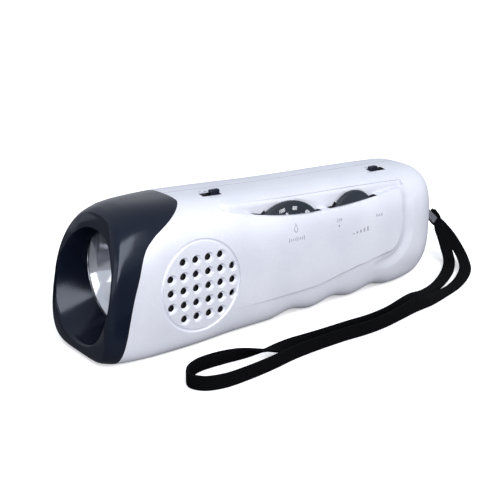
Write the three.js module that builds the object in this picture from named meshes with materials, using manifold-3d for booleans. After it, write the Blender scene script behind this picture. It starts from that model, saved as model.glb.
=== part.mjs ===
// Flashlight radio: a torch-shaped hand radio with a round speaker grille, two thumbwheels
// standing in a ledge on its near side, two slide switches on top, finger grooves under the
// grip and a wrist strap at the tail. Millimetres, +X from the lamp to the tail, +Z up, near
// side at -Y. It is drawn with x from the front rim, y from the parting plane and z from the
// surface it lies on, and moved at the end so that the origin is the middle of its base.

import * as THREE from 'three';
import { mergeVertices } from 'three/addons/utils/BufferGeometryUtils.js';
import Module from 'manifold-3d';

const wasm = await Module();
wasm.setup();

// Driving dimensions of the casing
const bodyLength = 172.4;
const bodyWidth = 44;
const bodyHeight = 55.6;
const wall = 2;
const fit = 0.3;
const seam = 0.35;
const overrun = 12;
const ringPoints = 20;
const liningPoints = 16;
const roundSides = 16;
const smallSides = 10;
const bossSides = 8;

// Shape of the casing: place along the length, then half width, crown and belly as shares of
// the width and the height, and the squareness of the section's upper and lower halves
const stationShares = [
  [0.0, 0.5, 0.97, 0.014, 2.35, 4.6],
  [0.03, 0.5, 0.992, 0.002, 2.55, 6.2],
  [0.075, 0.5, 0.999, -0.006, 2.8, 7.4],
  [0.13, 0.5, 1.0, -0.01, 3.0, 8],
  [0.2, 0.5, 1.0, -0.01, 3.15, 7.8],
  [0.34, 0.498, 0.983, -0.01, 3.4, 5.6],
  [0.51, 0.49, 0.96, -0.01, 3.3, 5.2],
  [0.69, 0.48, 0.946, -0.01, 3.3, 4.4],
  [0.86, 0.467, 0.934, -0.01, 3.2, 3.9],
  [1.0, 0.45, 0.918, 0.03, 3.0, 3],
];
const noseRake = 0.232;
const rakePower = 2;
const rakeReach = 50;
const noseRound = 1.6;
const tailRound = 15;
const tailSteps = 4;
const noseSteps = 3;
const trunkSteps = 7;

// Finger grooves under the grip
const grooveStartShare = 0.4368;
const grooveTail = 13.1;
const grooveCount = 3;
const grooveDepth = 2.3;
const grooveSteps = 4;
const grooveFade = 3;
const grooveStart = bodyLength * grooveStartShare;
const groovePitch = (bodyLength - tailRound - grooveTail - grooveStart) / grooveCount;

// Edge between the black bezel and the silver casing, seen from the side, from the belly up
const bezelEdgeReach = 40;
const bezelEdgeShares = [
  [0.11, 0.0], [0.16, 0.1], [0.203, 0.21], [0.247, 0.345], [0.293, 0.47], [0.352, 0.6],
  [0.397, 0.7], [0.447, 0.764], [0.503, 0.802], [0.568, 0.836], [0.64, 0.864], [0.725, 0.896],
  [0.815, 0.932], [0.895, 0.965], [0.945, 0.986], [0.962, 1.0],
];

// Lamp
const lampHeight = bodyHeight * 0.4946;
const lensFace = 14.5;
const lensMargin = 4;
const lensLip = 1;
const lensThickness = 2;
const lensBulge = 0.5;
const lensRadius = bodyWidth / 2 - lensMargin;
const lensView = lensRadius - lensLip;
const lampSides = 24;
const mouthSideRim = 2.4;
const mouthEndRim = 6.8;
const mouthHalfWidth = bodyWidth / 2 - mouthSideRim;
const mouthHalfHeight = bodyHeight / 2 - mouthEndRim;
const mouthMiddle = bodyHeight * 0.4752;
const mouthPower = 2.2;
const mouthLip = 1.2;
const coneSteps = 3;
const collarLength = 8;
const plugEnd = lensFace + collarLength;
const reflectorDepth = 15.5;
const reflectorNeck = 4.6;
const reflectorWall = 1;
const bowlSteps = 4;
const flangeThickness = 1.5;
const bulbRadius = 3;
const bulbLength = 13;
const bulbCapRadius = 4.2;
const bulbCapLength = 7;
const holderRadius = 6.2;
const holderLength = 12;
const holderWall = 1.6;

// Speaker and its grille in the near side
const grilleHeight = bodyHeight * 0.4424;
const speakerClear = 7.8;
const speakerGap = 1;
const speakerInset = 5.6;
const speakerRadius = grilleHeight - speakerClear;
const magnetRadius = 8;
const reflectorClear = 2.3;
const grilleAlong = Math.max(plugEnd + speakerGap + speakerRadius,
  lensFace + reflectorDepth + magnetRadius + reflectorClear);
const speakerFace = bodyWidth / 2 - speakerInset;
const speakerFlange = 1.2;
const speakerDepth = 6;
const basketNeck = 8;
const basketWall = 1;
const magnetDepth = speakerFace - speakerDepth - holderRadius - fit;
const coneDepth = 4.2;
const conePaper = 0.7;
const dustCapRadius = 4.4;
const holePitch = speakerRadius * 0.3274;
const holeRadius = 1.95;
const holeSides = 6;
const grilleRows = [4, 6, 6, 6, 4];
const holesBack = 1;
const holesDown = 0.7;
const rimMargin = 1.2;
const rimRadius = speakerRadius + rimMargin;
const rimGroove = 0.9;
const rimSink = 0.7;
const rimSides = 24;

// Strap anchor in the tail
const pocketDepth = 9.6;
const pocketHalfWidth = 4.6;
const pocketLow = bodyHeight * 0.4856;
const pocketHigh = bodyHeight * 0.7734;
const pinRadius = 1.1;
const pinSetback = 4.2;
const pinSeat = 1.5;
const pinAlong = bodyLength - pinSetback;
const clipTilt = 42;
const clipLength = 25.5;
const clipWidth = 3.2;
const clipGap = 1.85;
const clipSheet = 0.6;
const clipHeel = 3.6;
const clipRise = 9.2;
const clipHeight = pocketLow + clipRise;

// Casing screws, put in from the far side
const screwRadius = 1.3;
const screwHeadRadius = 2.5;
const screwHeadThickness = 1.8;
const screwLength = 14;
const screwSeat = 7;
const slotWidth = 0.7;
const slotDepth = 0.8;
const bossRadius = 3;
const bossBoardStep = 2.6;
const bossPocketGap = 2.8;
const bossLow = 6.2;
const tailBossAlong = bodyLength - pocketDepth - bossRadius - bossPocketGap;

// Circuit board, standing upright behind the wheels
const wheelInset = 3;
const boardGap = bodyWidth * 0.15;
const boardClear = 2.4;
const noseReach = 12.5;
const wheelFace = bodyWidth / 2 - wheelInset;
const boardOuter = wheelFace - boardGap;
const boardThickness = 1.6;
const boardFace = boardOuter - boardThickness;
const boardFront = grilleAlong + speakerRadius + boardClear;
const boardNose = boardFront - noseReach;
const boardLow = bodyHeight * 0.171;
const boardHigh = bodyHeight * 0.7284;
const boardTop = bodyHeight * 0.9065;
const boardTopRear = bodyHeight * 0.8345;
const boardRearShare = 0.6282;
const postRadius = 1.8;
const postSetIn = 4;

// Thumbwheels
const gripSpan = tailBossAlong - boardFront;
const dialRadius = 20;
const dialAlong = boardFront + gripSpan * 0.2513;
const dialHeight = bodyHeight * 0.5216;
const dialThickness = 2;
const dialSides = 20;
const dialKnurl = 0.35;
const wheelGap = 3.5;
const volumeRadius = 11.4;
const volumeAlong = dialAlong + dialRadius + volumeRadius + wheelGap;
const volumeHeight = bodyHeight * 0.6547;
const volumeThickness = 2;
const volumeSides = 22;
const shaftRadius = 2.6;
const wheelClear = 0.5;
const dialSlotHalf = 17.2;
const volumeSlotFront = 13.5;
const volumeSlotRear = 12.7;
const wheelScrewRadius = 1.9;
const wheelScrewHead = 0.9;
const volumeSlotTo = volumeAlong + volumeSlotRear;
const boardRear = volumeAlong + volumeRadius
  + (tailBossAlong - bossRadius - fit - volumeAlong - volumeRadius) * boardRearShare;

// Ledge in the near shoulder, where the thumbwheels stand up
const ledgeLead = 3.7;
const ledgeEndShare = 0.39;
const ledgeDepth = 5.4;
const ledgeStart = grilleAlong + ledgeLead;
const ledgeEnd = volumeSlotTo + (bodyLength - volumeSlotTo) * ledgeEndShare;
const ledgeTop = bodyHeight * 0.9676;
const ledgeLow = bodyHeight * 0.7662;
const ledgeRear = bodyHeight * 0.8165;
const ledgeLowAlong = dialAlong + dialRadius;
const ledgeDepthAt = bodyWidth / 2 - ledgeDepth;
const ledgeSteps = 12;

// Panel that stands proud of the near side below the ledge
const panelProud = 1.2;
const panelLead = 9.5;
const panelRun = 8;
const panelRearGap = 2.2;
const panelCorner = 9;
const panelReach = 10;
const panelGrowFrom = boardFront - panelLead;
const panelGrowTo = dialAlong + panelRun;
const panelRear = ledgeEnd - panelRearGap;
const panelBelly = bodyHeight * 0.205;
const panelBellyRear = bodyHeight * 0.3165;
const panelInner = bodyWidth / 2 - panelReach;

// What is soldered to the board
const tunerSize = bodyHeight * 0.3237;
const tunerDepth = boardFace * 0.79;
const volumeCaseRadius = 5.5;
const volumeCaseDepth = 4;
const chipLength = 13;
const chipHeight = 6;
const chipDepth = 2.2;
const chipBack = 8;
const chipGap = 1.5;
const capRadius = 3.2;
const capLength = 9;
const capStep = 19;
const capLift = 3.5;

// Slide switches on top
const switchSeat = 2.4;
const switchRoof = 1.9;
const switchAcross = boardFace - switchSeat;
const switchLength = 8.8;
const switchWidth = 4.2;
const switchDepth = 4.6;
const knobLength = 4.2;
const knobWidth = 2.2;
const knobProud = 0.9;
const knobTravel = 3.5;
const knobFoot = 1.6;
const knobClear = 0.5;
const bandSwitchStep = 5.3;
const lightSwitchStep = 4.4;
const bandSwitchAlong = boardFront - bandSwitchStep;
const lightSwitchAlong = boardRear - lightSwitchStep;

// Ferrite aerial, above the controls, in two clips on the board
const ferriteRadius = 2.8;
const ferriteLength = gripSpan * 0.595;
const ferriteAlong = dialAlong + dialRadius - wheelGap;
const ferriteAcross = boardFace * 0.27;
const ferriteRoof = 0.8;
const coilRadius = 3.25;
const coilLength = ferriteLength * 0.38;
const rodClipThickness = 2.4;
const rodClipWall = 1.2;
const rodClipPlaceShare = 0.42;

// Batteries in the far half, one above the other, and their bay
const batteryRadius = 7.2;
const batteryLength = 49.4;
const batteryDoorGap = 1.9;
const batteryGap = 0.6;
const nubRadius = 2.7;
const nubLength = 1.2;
const bayWall = 1.4;
const bayClear = 0.8;
const springRadius = 3.4;
const springWire = 0.45;
const springTurns = 2.5;
const springSteps = 16;
const springRoom = 5.2;
const contactThickness = 0.5;
const contactHalf = 5;
const doorThickness = 1.9;
const doorMargin = 0.4;
const doorReach = 3;
const doorRise = 2;
const doorRest = 1.6;
const gripRibs = 5;
const gripRibPitch = 2.6;
const gripRibWidth = 1.1;
const gripRibDepth = 0.6;
const gripRibHeight = 16;
const batteryAcross = bodyWidth / 2 - doorThickness - batteryDoorGap - batteryRadius;
const batteryLowHeight = bodyHeight * 0.3309;
const batteryStep = batteryRadius * 2 + batteryGap;
const bayInner = batteryAcross - batteryRadius - bayClear;
const bayLength = batteryLength + springRoom * 2;
const bayPlaceShare = 0.2366;
const bayFront = boardFront
  + (tailBossAlong - bossRadius * 2 - bayLength - boardFront) * bayPlaceShare;
const bayRear = bayFront + bayLength;
const batteryFront = bayFront + springRoom;
const bayLow = batteryLowHeight - batteryRadius - bayClear;
const bayHigh = batteryLowHeight + batteryStep + batteryRadius + batteryGap;
const doorFront = bayFront - doorReach;
const doorRear = bayRear + doorReach;
const doorLow = bayLow - doorRise;
const doorHigh = bayHigh + doorRise;

const screwPlaces = [
  [boardFront + bossBoardStep, bossLow],
  [boardFront + bossBoardStep, bodyHeight * 0.8381],
  [grooveStart + groovePitch * 2, bossLow],
  [tailBossAlong, bodyHeight * 0.2338],
  [tailBossAlong, bodyHeight * 0.7374],
];

// Wrist strap: a flat cord, two layers at the clip, laid in one long loop on the surface. Each
// row of its route is x from the strap pin, y, the rise off the surface as a share of the clip's
// height, and the tape's lean in degrees, from on edge at 0 to flat at 90
const strapWidth = 5.5;
const strapThickness = 1.2;
const strapSteps = 76;
const strapLift = 0.15;
const strapRoute = [
  [16.7, -0.75, 0.5691, 0], [19.2, -0.75, 0.5055, 0], [21.3, -0.8, 0.446, 17],
  [22.2, -1.8, 0.3945, 80], [21.6, -5.1, 0.2808, 84], [20.6, -8.5, 0.1517, 78],
  [19.3, -11.7, 0.0418, 95], [12, -18, 0, 96], [1.3, -24.8, 0, 90], [-10, -30.4, 0, 90],
  [-20.3, -34, 0, 98], [-30.7, -37.3, 0, 125], [-41.2, -40.9, 0, 155], [-53.2, -44, 0, 176],
  [-65.2, -45.4, 0, 180], [-76.2, -45.2, 0, 180], [-88.2, -45.4, 0, 178], [-99.2, -45.6, 0, 160],
  [-108.2, -44.8, 0.0294, 112], [-117.2, -42.6, 0.0134, 52], [-126.2, -40, 0, 12],
  [-134.7, -38.8, 0, 0], [-142.2, -39.4, 0, 0], [-148.2, -42.6, 0, 0], [-151, -47.6, 0, 0],
  [-148.6, -52.6, 0, 0], [-141.9, -55.1, 0, 0], [-131.5, -55, 0, 0], [-119.7, -53.6, 0, 0],
  [-106.5, -51.2, 0, 0], [-94, -50.2, 0, 0], [-81.7, -49.9, 0, 0], [-70, -50.3, 0, 2],
  [-59.7, -49.5, 0, 6], [-49.2, -47.3, 0, 16], [-37.7, -44.5, 0, 36], [-27.7, -42.6, 0, 62],
  [-16.1, -39.2, 0, 80], [-4.7, -35.6, 0, 90], [7.5, -29.9, 0, 90], [16.3, -24.3, 0.0214, 82],
  [21, -19.1, 0.0641, 83], [26.7, -10.8, 0.126, 94], [27.5, -5.1, 0.2163, 118],
  [25.5, 0.1, 0.3407, 146], [21.4, 1.1, 0.4495, 177], [19.2, 0.75, 0.5048, 183],
  [16.7, 0.75, 0.5691, 180],
];

// Colours and finishes
const finishes = {
  silver: { color: 0xc9ccd6, roughness: 0.38, metalness: 0.35 },
  black: { color: 0x15171d, roughness: 0.18, metalness: 0.0 },
  darkWheel: { color: 0x1c2026, roughness: 0.45, metalness: 0.0 },
  clear: { color: 0xeef4f6, roughness: 0.05, metalness: 0.0 },
  mirror: { color: 0xe6e9ec, roughness: 0.08, metalness: 1.0 },
  chrome: { color: 0xb9bec6, roughness: 0.15, metalness: 1.0 },
  steel: { color: 0x9a9da2, roughness: 0.35, metalness: 1.0 },
  brass: { color: 0xb08d3e, roughness: 0.35, metalness: 1.0 },
  paper: { color: 0x24211f, roughness: 0.9, metalness: 0.0 },
  board: { color: 0x2f6b3a, roughness: 0.6, metalness: 0.0 },
  electronics: { color: 0x1b1b1d, roughness: 0.5, metalness: 0.0 },
  tuner: { color: 0xd8d4c4, roughness: 0.5, metalness: 0.0 },
  ferrite: { color: 0x3a3836, roughness: 0.7, metalness: 0.0 },
  copper: { color: 0xb5652e, roughness: 0.35, metalness: 0.9 },
  battery: { color: 0x2b4b78, roughness: 0.35, metalness: 0.2 },
  webbing: { color: 0x0e0f14, roughness: 0.9, metalness: 0.0 },
};

// Small tools
const quarter = Math.PI / 2;
const turn = Math.PI * 2;
const mix = (a, b, t) => a + (b - a) * t;
const ramp = (x, from, to) => THREE.MathUtils.smoothstep(x, from, to);
const parts = [];

function addPart(name, geometry, finish) {
  const mesh = new THREE.Mesh(geometry, new THREE.MeshStandardMaterial(finishes[finish]));
  mesh.name = name;
  parts.push(mesh);
}

function solid(geometry) {
  const bare = geometry.index ? geometry.toNonIndexed() : geometry.clone();
  bare.deleteAttribute('normal');
  bare.deleteAttribute('uv');
  const merged = mergeVertices(bare, 1e-4);
  return new wasm.Manifold(new wasm.Mesh({
    numProp: 3,
    vertProperties: new Float32Array(merged.attributes.position.array),
    triVerts: new Uint32Array(merged.index.array),
  }));
}

function shape(body) {
  const mesh = body.getMesh();
  const geometry = new THREE.BufferGeometry();
  geometry.setAttribute('position', new THREE.BufferAttribute(mesh.vertProperties, 3));
  geometry.setIndex(new THREE.BufferAttribute(mesh.triVerts, 1));
  return geometry;
}

function union(bodies) {
  return bodies.reduce((sum, body) => sum.add(body));
}

function block(x0, x1, y0, y1, z0, z1) {
  const box = new THREE.BoxGeometry(x1 - x0, y1 - y0, z1 - z0);
  box.translate((x0 + x1) / 2, (y0 + y1) / 2, (z0 + z1) / 2);
  return solid(box);
}

// A solid of revolution about a line through (x, y, z) along an axis, from points [along, radius]
function turned(profile, axis, x, y, z, sides) {
  const points = profile.map(([along, radius]) => new THREE.Vector2(radius, along));
  const lathe = new THREE.LatheGeometry(points, sides);
  if (axis === 'x') {
    lathe.rotateZ(-quarter);
    lathe.rotateX(quarter);
  }
  if (axis === 'z') {
    lathe.rotateX(quarter);
  }
  lathe.translate(x, y, z);
  return solid(lathe);
}

function rod(axis, radius, from, to, x, y, z, sides) {
  return turned([[from, 0], [from, radius], [to, radius], [to, 0]], axis, x, y, z, sides);
}

// A prism along Y of an outline in x and z
function prismY(outline, y0, y1) {
  const path = new THREE.Shape(outline.map(([x, z]) => new THREE.Vector2(x, z)));
  const prism = new THREE.ExtrudeGeometry(path, { depth: y1 - y0, bevelEnabled: false, steps: 1 });
  prism.rotateX(quarter);
  prism.translate(0, y1, 0);
  return solid(prism);
}

// A closed body through rings of equal count, capped flat at both ends
function loft(rings) {
  const count = rings[0].length;
  const points = [];
  const faces = [];
  rings.forEach((ring) => ring.forEach((p) => points.push(p.x, p.y, p.z)));
  for (let i = 0; i + 1 < rings.length; i += 1) {
    for (let j = 0; j < count; j += 1) {
      const a = i * count + j;
      const b = i * count + (j + 1) % count;
      faces.push(a, b, a + count, b, b + count, a + count);
    }
  }
  [0, rings.length - 1].forEach((i) => {
    const middle = new THREE.Vector3();
    rings[i].forEach((p) => middle.addScaledVector(p, 1 / count));
    const hub = points.length / 3;
    points.push(middle.x, middle.y, middle.z);
    for (let j = 0; j < count; j += 1) {
      const a = i * count + j;
      const b = i * count + (j + 1) % count;
      faces.push(...(i === 0 ? [hub, b, a] : [hub, a, b]));
    }
  });
  const geometry = new THREE.BufferGeometry();
  geometry.setAttribute('position', new THREE.Float32BufferAttribute(points, 3));
  geometry.setIndex(faces);
  return solid(geometry);
}

// Smooth value of one column of a table at x, by cubic steps between its rows
function along(table, column, x) {
  const last = table.length - 1;
  const slope = (i) => {
    if (i === 0 || i === last) {
      return 0;
    }
    const before = (table[i][column] - table[i - 1][column]) / (table[i][0] - table[i - 1][0]);
    const after = (table[i + 1][column] - table[i][column]) / (table[i + 1][0] - table[i][0]);
    return before * after > 0 ? 2 * before * after / (before + after) : 0;
  };
  let i = 0;
  while (i < last - 1 && x > table[i + 1][0]) {
    i += 1;
  }
  const span = table[i + 1][0] - table[i][0];
  const t = THREE.MathUtils.clamp((x - table[i][0]) / span, 0, 1);
  const p = table[i][column];
  const q = table[i + 1][column];
  const m = slope(i) * span;
  const n = slope(i + 1) * span;
  return p + m * t + (3 * (q - p) - 2 * m - n) * t * t + (2 * (p - q) + m + n) * t * t * t;
}

// Casing form
function groove(x) {
  const end = grooveStart + groovePitch * grooveCount;
  if (x <= grooveStart || x >= end) {
    return 0;
  }
  return grooveDepth * (1 - Math.cos(turn * (x - grooveStart) / groovePitch)) / 2;
}

// How far a point this high above the belly leans back
function rakeShift(rake, height) {
  return rake * bodyHeight * (Math.max(height, 0) / bodyHeight) ** rakePower;
}

// One section of the casing at x, drawn in by inset, and swelled on the near side by proud
function section(x, inset, proud, count) {
  const share = x / bodyLength;
  const halfWidth = along(stationShares, 1, share) * bodyWidth - inset;
  const crown = along(stationShares, 2, share) * bodyHeight - inset;
  const belly = along(stationShares, 3, share) * bodyHeight + inset;
  const upper = along(stationShares, 4, share);
  const lower = along(stationShares, 5, share);
  const middle = (crown + belly) / 2;
  const half = (crown - belly) / 2;
  const rake = noseRake * (1 - ramp(x, 0, rakeReach));
  const ring = [];
  for (let i = 0; i < count; i += 1) {
    const angle = turn * i / count;
    const c = Math.cos(angle);
    const s = Math.sin(angle);
    const shapePower = 2 / (s > 0 ? upper : lower);
    const wide = Math.sign(c) * Math.abs(c) ** shapePower;
    const tall = Math.sign(s) * Math.abs(s) ** shapePower;
    const lift = s < 0 ? groove(x) * Math.abs(tall) ** grooveFade : 0;
    const side = c < 0 ? halfWidth + proud : halfWidth;
    const z = middle + half * tall + lift;
    ring.push(new THREE.Vector3(x + rakeShift(rake, z - belly), side * wide, z));
  }
  return ring;
}

function trunkStations() {
  const noseEnd = noseRound;
  const tailStart = bodyLength - tailRound;
  const grooveEnd = grooveStart + groovePitch * grooveCount;
  const places = [];
  for (let i = 0; i <= trunkSteps; i += 1) {
    const x = mix(noseEnd, grooveStart, (i / trunkSteps) ** 1.2);
    places.push(x);
  }
  for (let i = 1; i <= grooveCount * grooveSteps; i += 1) {
    places.push(grooveStart + groovePitch * i / grooveSteps);
  }
  places.push(mix(grooveEnd, tailStart, 0.5), tailStart);
  return places;
}

// The whole outer form, inset for its inner faces, from start to end along the length
function formBody(inset, proud, count) {
  const rings = [];
  for (let i = 0; i <= noseSteps; i += 1) {
    const angle = quarter * i / noseSteps;
    const x = noseRound * (1 - Math.cos(angle));
    const drawn = noseRound * (1 - Math.sin(angle));
    if (i < noseSteps) {
      rings.push(section(x, inset + drawn, 0, count).map((p) => p.setX(p.x + inset)));
    }
  }
  trunkStations().forEach((x) => {
    const grow = proud * ramp(x, panelGrowFrom, panelGrowTo);
    rings.push(section(x, inset, grow, count).map((p) => p.setX(p.x + inset * (x < tailRound))));
  });
  for (let i = 1; i <= tailSteps; i += 1) {
    const angle = quarter * i / tailSteps;
    const x = bodyLength - tailRound + (tailRound - inset) * Math.sin(angle);
    const drawn = (tailRound - inset) * (1 - Math.cos(angle));
    rings.push(section(x, inset + drawn, proud, count));
  }
  return loft(rings);
}

function bezelEdge(shift) {
  return bezelEdgeShares.map(([x, z]) => [x * bezelEdgeReach + shift, z * bodyHeight]);
}

// Everything in front of the bezel's rear edge, moved back by shift
function frontRegion(shift) {
  const edge = bezelEdge(shift);
  const low = edge[0];
  const high = edge[edge.length - 1];
  const outline = [
    [-overrun, -overrun], [low[0], -overrun], ...edge, [high[0], bodyHeight + overrun],
    [-overrun, bodyHeight + overrun],
  ];
  return prismY(outline, -bodyWidth, bodyWidth);
}

function mouthRing(x, halfWidth, halfHeight, middle, power, rake, count) {
  const ring = [];
  for (let i = 0; i < count; i += 1) {
    const angle = turn * i / count;
    const c = Math.cos(angle);
    const s = Math.sin(angle);
    const y = halfWidth * Math.sign(c) * Math.abs(c) ** (2 / power);
    const z = middle + halfHeight * Math.sign(s) * Math.abs(s) ** (2 / power);
    ring.push(new THREE.Vector3(x + rakeShift(rake, z - middle + halfHeight), y, z));
  }
  return ring;
}

// Flared recess in front of the lens, from the oval mouth to the round lens seat
function recess() {
  const lip = (x) => mouthRing(x, mouthHalfWidth + mouthLip, mouthHalfHeight + mouthLip, mouthMiddle,
    mouthPower, noseRake, lampSides);
  const rings = [lip(-overrun), lip(0)];
  for (let i = 0; i <= coneSteps; i += 1) {
    const t = i / coneSteps;
    rings.push(mouthRing(mix(mouthLip, lensFace + fit, t), mix(mouthHalfWidth, lensView, t),
      mix(mouthHalfHeight, lensView, t), mix(mouthMiddle, lampHeight, t), mix(mouthPower, 2, t),
      noseRake * (1 - t), lampSides));
  }
  return loft(rings);
}

function makeBezel() {
  const reach = (from, to) => block(from, to, -bodyWidth, bodyWidth, -overrun, bodyHeight + overrun);
  const visible = formBody(0, 0, ringPoints).intersect(frontRegion(0));
  const plug = formBody(wall + fit, 0, liningPoints).intersect(reach(-overrun, plugEnd));
  const lining = formBody(wall, 0, liningPoints).intersect(reach(plugEnd, bodyLength));
  const seat = rod('x', lensRadius + fit, lensFace, plugEnd + overrun, 0, 0, lampHeight, lampSides);
  const body = visible.add(plug).subtract(lining).subtract(recess()).subtract(seat);
  addPart('front_bezel', shape(body), 'black');
}

function makeLamp() {
  const lensBack = lensFace + fit + lensThickness;
  const lens = turned([
    [lensFace + fit - lensBulge, 0], [lensFace + fit - lensBulge * 0.75, lensRadius * 0.5],
    [lensFace + fit, lensRadius], [lensBack, lensRadius], [lensBack, 0],
  ], 'x', 0, 0, lampHeight, ringPoints);
  addPart('lens', shape(lens), 'clear');

  const flangeFace = lensBack + fit;
  const bowlFrom = flangeFace;
  const bowlTo = flangeFace + reflectorDepth;
  const inner = [];
  const outer = [];
  for (let i = 0; i <= bowlSteps; i += 1) {
    const t = i / bowlSteps;
    const radius = mix(lensView - reflectorWall, reflectorNeck, t);
    const depth = (lensView ** 2 - radius ** 2) / (lensView ** 2 - reflectorNeck ** 2);
    inner.push([mix(bowlFrom, bowlTo, depth), radius]);
    outer.push([mix(bowlFrom, bowlTo, depth) + fit, radius + reflectorWall]);
  }
  const profile = [
    ...inner, [bowlTo + flangeThickness, reflectorNeck],
    [bowlTo + flangeThickness, reflectorNeck + reflectorWall], ...outer.slice(2).reverse(),
    [flangeFace + flangeThickness, lensView], [flangeFace + flangeThickness, lensRadius],
    [flangeFace, lensRadius], inner[0],
  ].reverse();
  addPart('reflector', shape(turned(profile, 'x', 0, 0, lampHeight, lampSides)), 'mirror');

  const bulbBack = bowlTo + flangeThickness + fit;
  const glassTip = bulbBack - bulbLength;
  const bulb = turned([
    [glassTip, 0], [glassTip + bulbRadius * 0.3, bulbRadius * 0.7],
    [glassTip + bulbRadius, bulbRadius], [bulbBack - bulbRadius, bulbRadius],
    [bulbBack - bulbRadius, reflectorNeck - fit], [bulbBack, reflectorNeck - fit],
    [bulbBack, bulbCapRadius], [bulbBack + bulbCapLength, bulbCapRadius],
    [bulbBack + bulbCapLength, 0],
  ], 'x', 0, 0, lampHeight, roundSides);
  addPart('bulb', shape(bulb), 'clear');

  const holderBack = bulbBack + holderLength;
  const holder = turned([
    [bulbBack, bulbCapRadius + fit], [bulbBack, holderRadius], [holderBack, holderRadius],
    [holderBack, 0], [holderBack - holderWall, 0],
    [holderBack - holderWall, bulbCapRadius + fit], [bulbBack, bulbCapRadius + fit],
  ], 'x', 0, 0, lampHeight, roundSides);
  addPart('bulb_holder', shape(holder), 'electronics');
}

// Lower edge of the ledge at x: a shallow arc, low under the wheels
function ledgeFloor(x) {
  if (x < ledgeLowAlong) {
    const t = (ledgeLowAlong - x) / (ledgeLowAlong - ledgeStart);
    return mix(ledgeLow, ledgeTop, t ** 2.1);
  }
  const t = (x - ledgeLowAlong) / (ledgeEnd - ledgeLowAlong);
  return mix(ledgeLow, ledgeRear, t ** 1.8);
}

function ledgeOutline(drop, grow) {
  const floor = [];
  for (let i = 0; i <= ledgeSteps; i += 1) {
    const x = mix(ledgeStart - grow, ledgeEnd + grow, i / ledgeSteps);
    floor.push([x, ledgeFloor(THREE.MathUtils.clamp(x, ledgeStart, ledgeEnd)) - drop]);
  }
  return [...floor, [ledgeEnd + grow, bodyHeight + overrun], [ledgeStart - grow, bodyHeight + overrun]];
}

function ledgeCut() {
  return prismY(ledgeOutline(0, 0), -bodyWidth, -ledgeDepthAt);
}

function ledgeKeep() {
  return prismY(ledgeOutline(wall, wall), -bodyWidth, -ledgeDepthAt + wall);
}

function panelOutline() {
  const front = panelGrowFrom;
  const corner = [];
  for (let i = 0; i <= 4; i += 1) {
    const angle = quarter * i / 4;
    corner.push([panelRear - panelCorner * (1 - Math.cos(angle)),
      panelBellyRear + panelCorner * (1 - Math.sin(angle))]);
  }
  return [
    [front, panelBelly], [mix(front, panelRear, 0.5), mix(panelBelly, panelBellyRear, 0.2)],
    ...corner.reverse(), [panelRear, bodyHeight], [front, bodyHeight],
  ];
}

function makeCavity() {
  const hollow = formBody(wall, 0, liningPoints).subtract(ledgeKeep());
  const tailBlock = block(bodyLength - pocketDepth - wall, bodyLength, -pocketHalfWidth - wall,
    pocketHalfWidth + wall, pocketLow - wall, pocketHigh + wall);
  return hollow.subtract(tailBlock);
}

function pocket() {
  return block(bodyLength - pocketDepth, bodyLength + overrun, -pocketHalfWidth, pocketHalfWidth,
    pocketLow, pocketHigh);
}

function pinHole() {
  return rod('z', pinRadius + fit / 2, pocketLow - pinSeat, pocketHigh + pinSeat, pinAlong, 0, 0,
    smallSides);
}

function wheelWell(radius, x, z, thickness) {
  return rod('y', radius + wheelClear, -wheelFace - fit, -wheelFace + thickness + wheelClear, x, 0,
    z, roundSides);
}

function wheelSlot(from, to, low) {
  return block(from, to, -wheelFace - fit, -ledgeDepthAt - fit / 2, low, bodyHeight);
}

function switchSlot(x) {
  const from = x - (knobLength + knobTravel) / 2 - knobClear;
  const to = x + (knobLength + knobTravel) / 2 + knobClear;
  const half = knobWidth / 2 + knobClear;
  return block(from, to, -switchAcross - half, -switchAcross + half, switchTop(x) - fit,
    bodyHeight + overrun);
}

function grilleHoles() {
  const holes = [];
  grilleRows.forEach((count, row) => {
    for (let i = 0; i < count; i += 1) {
      const x = grilleAlong + holesBack + (i - (count - 1) / 2) * holePitch;
      const z = grilleHeight - holesDown + ((grilleRows.length - 1) / 2 - row) * holePitch;
      holes.push(rod('y', holeRadius, -bodyWidth, -bodyWidth / 2 + wall * 3, x, 0, z, holeSides));
    }
  });
  return union(holes);
}

function grilleGroove() {
  const from = -bodyWidth / 2 - overrun;
  const to = -bodyWidth / 2 + rimSink;
  const ring = rod('y', rimRadius, from, to, grilleAlong, 0, grilleHeight, rimSides);
  const core = rod('y', rimRadius - rimGroove, from - wall, to + wall, grilleAlong, 0, grilleHeight,
    rimSides);
  return ring.subtract(core);
}

function boardPosts() {
  const rear = boardRear - postSetIn;
  return [[boardFront + postRadius + fit, boardLow + postRadius + fit],
    [rear, boardLow + postSetIn], [rear, volumeHeight - volumeRadius - postRadius * 2]];
}

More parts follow.
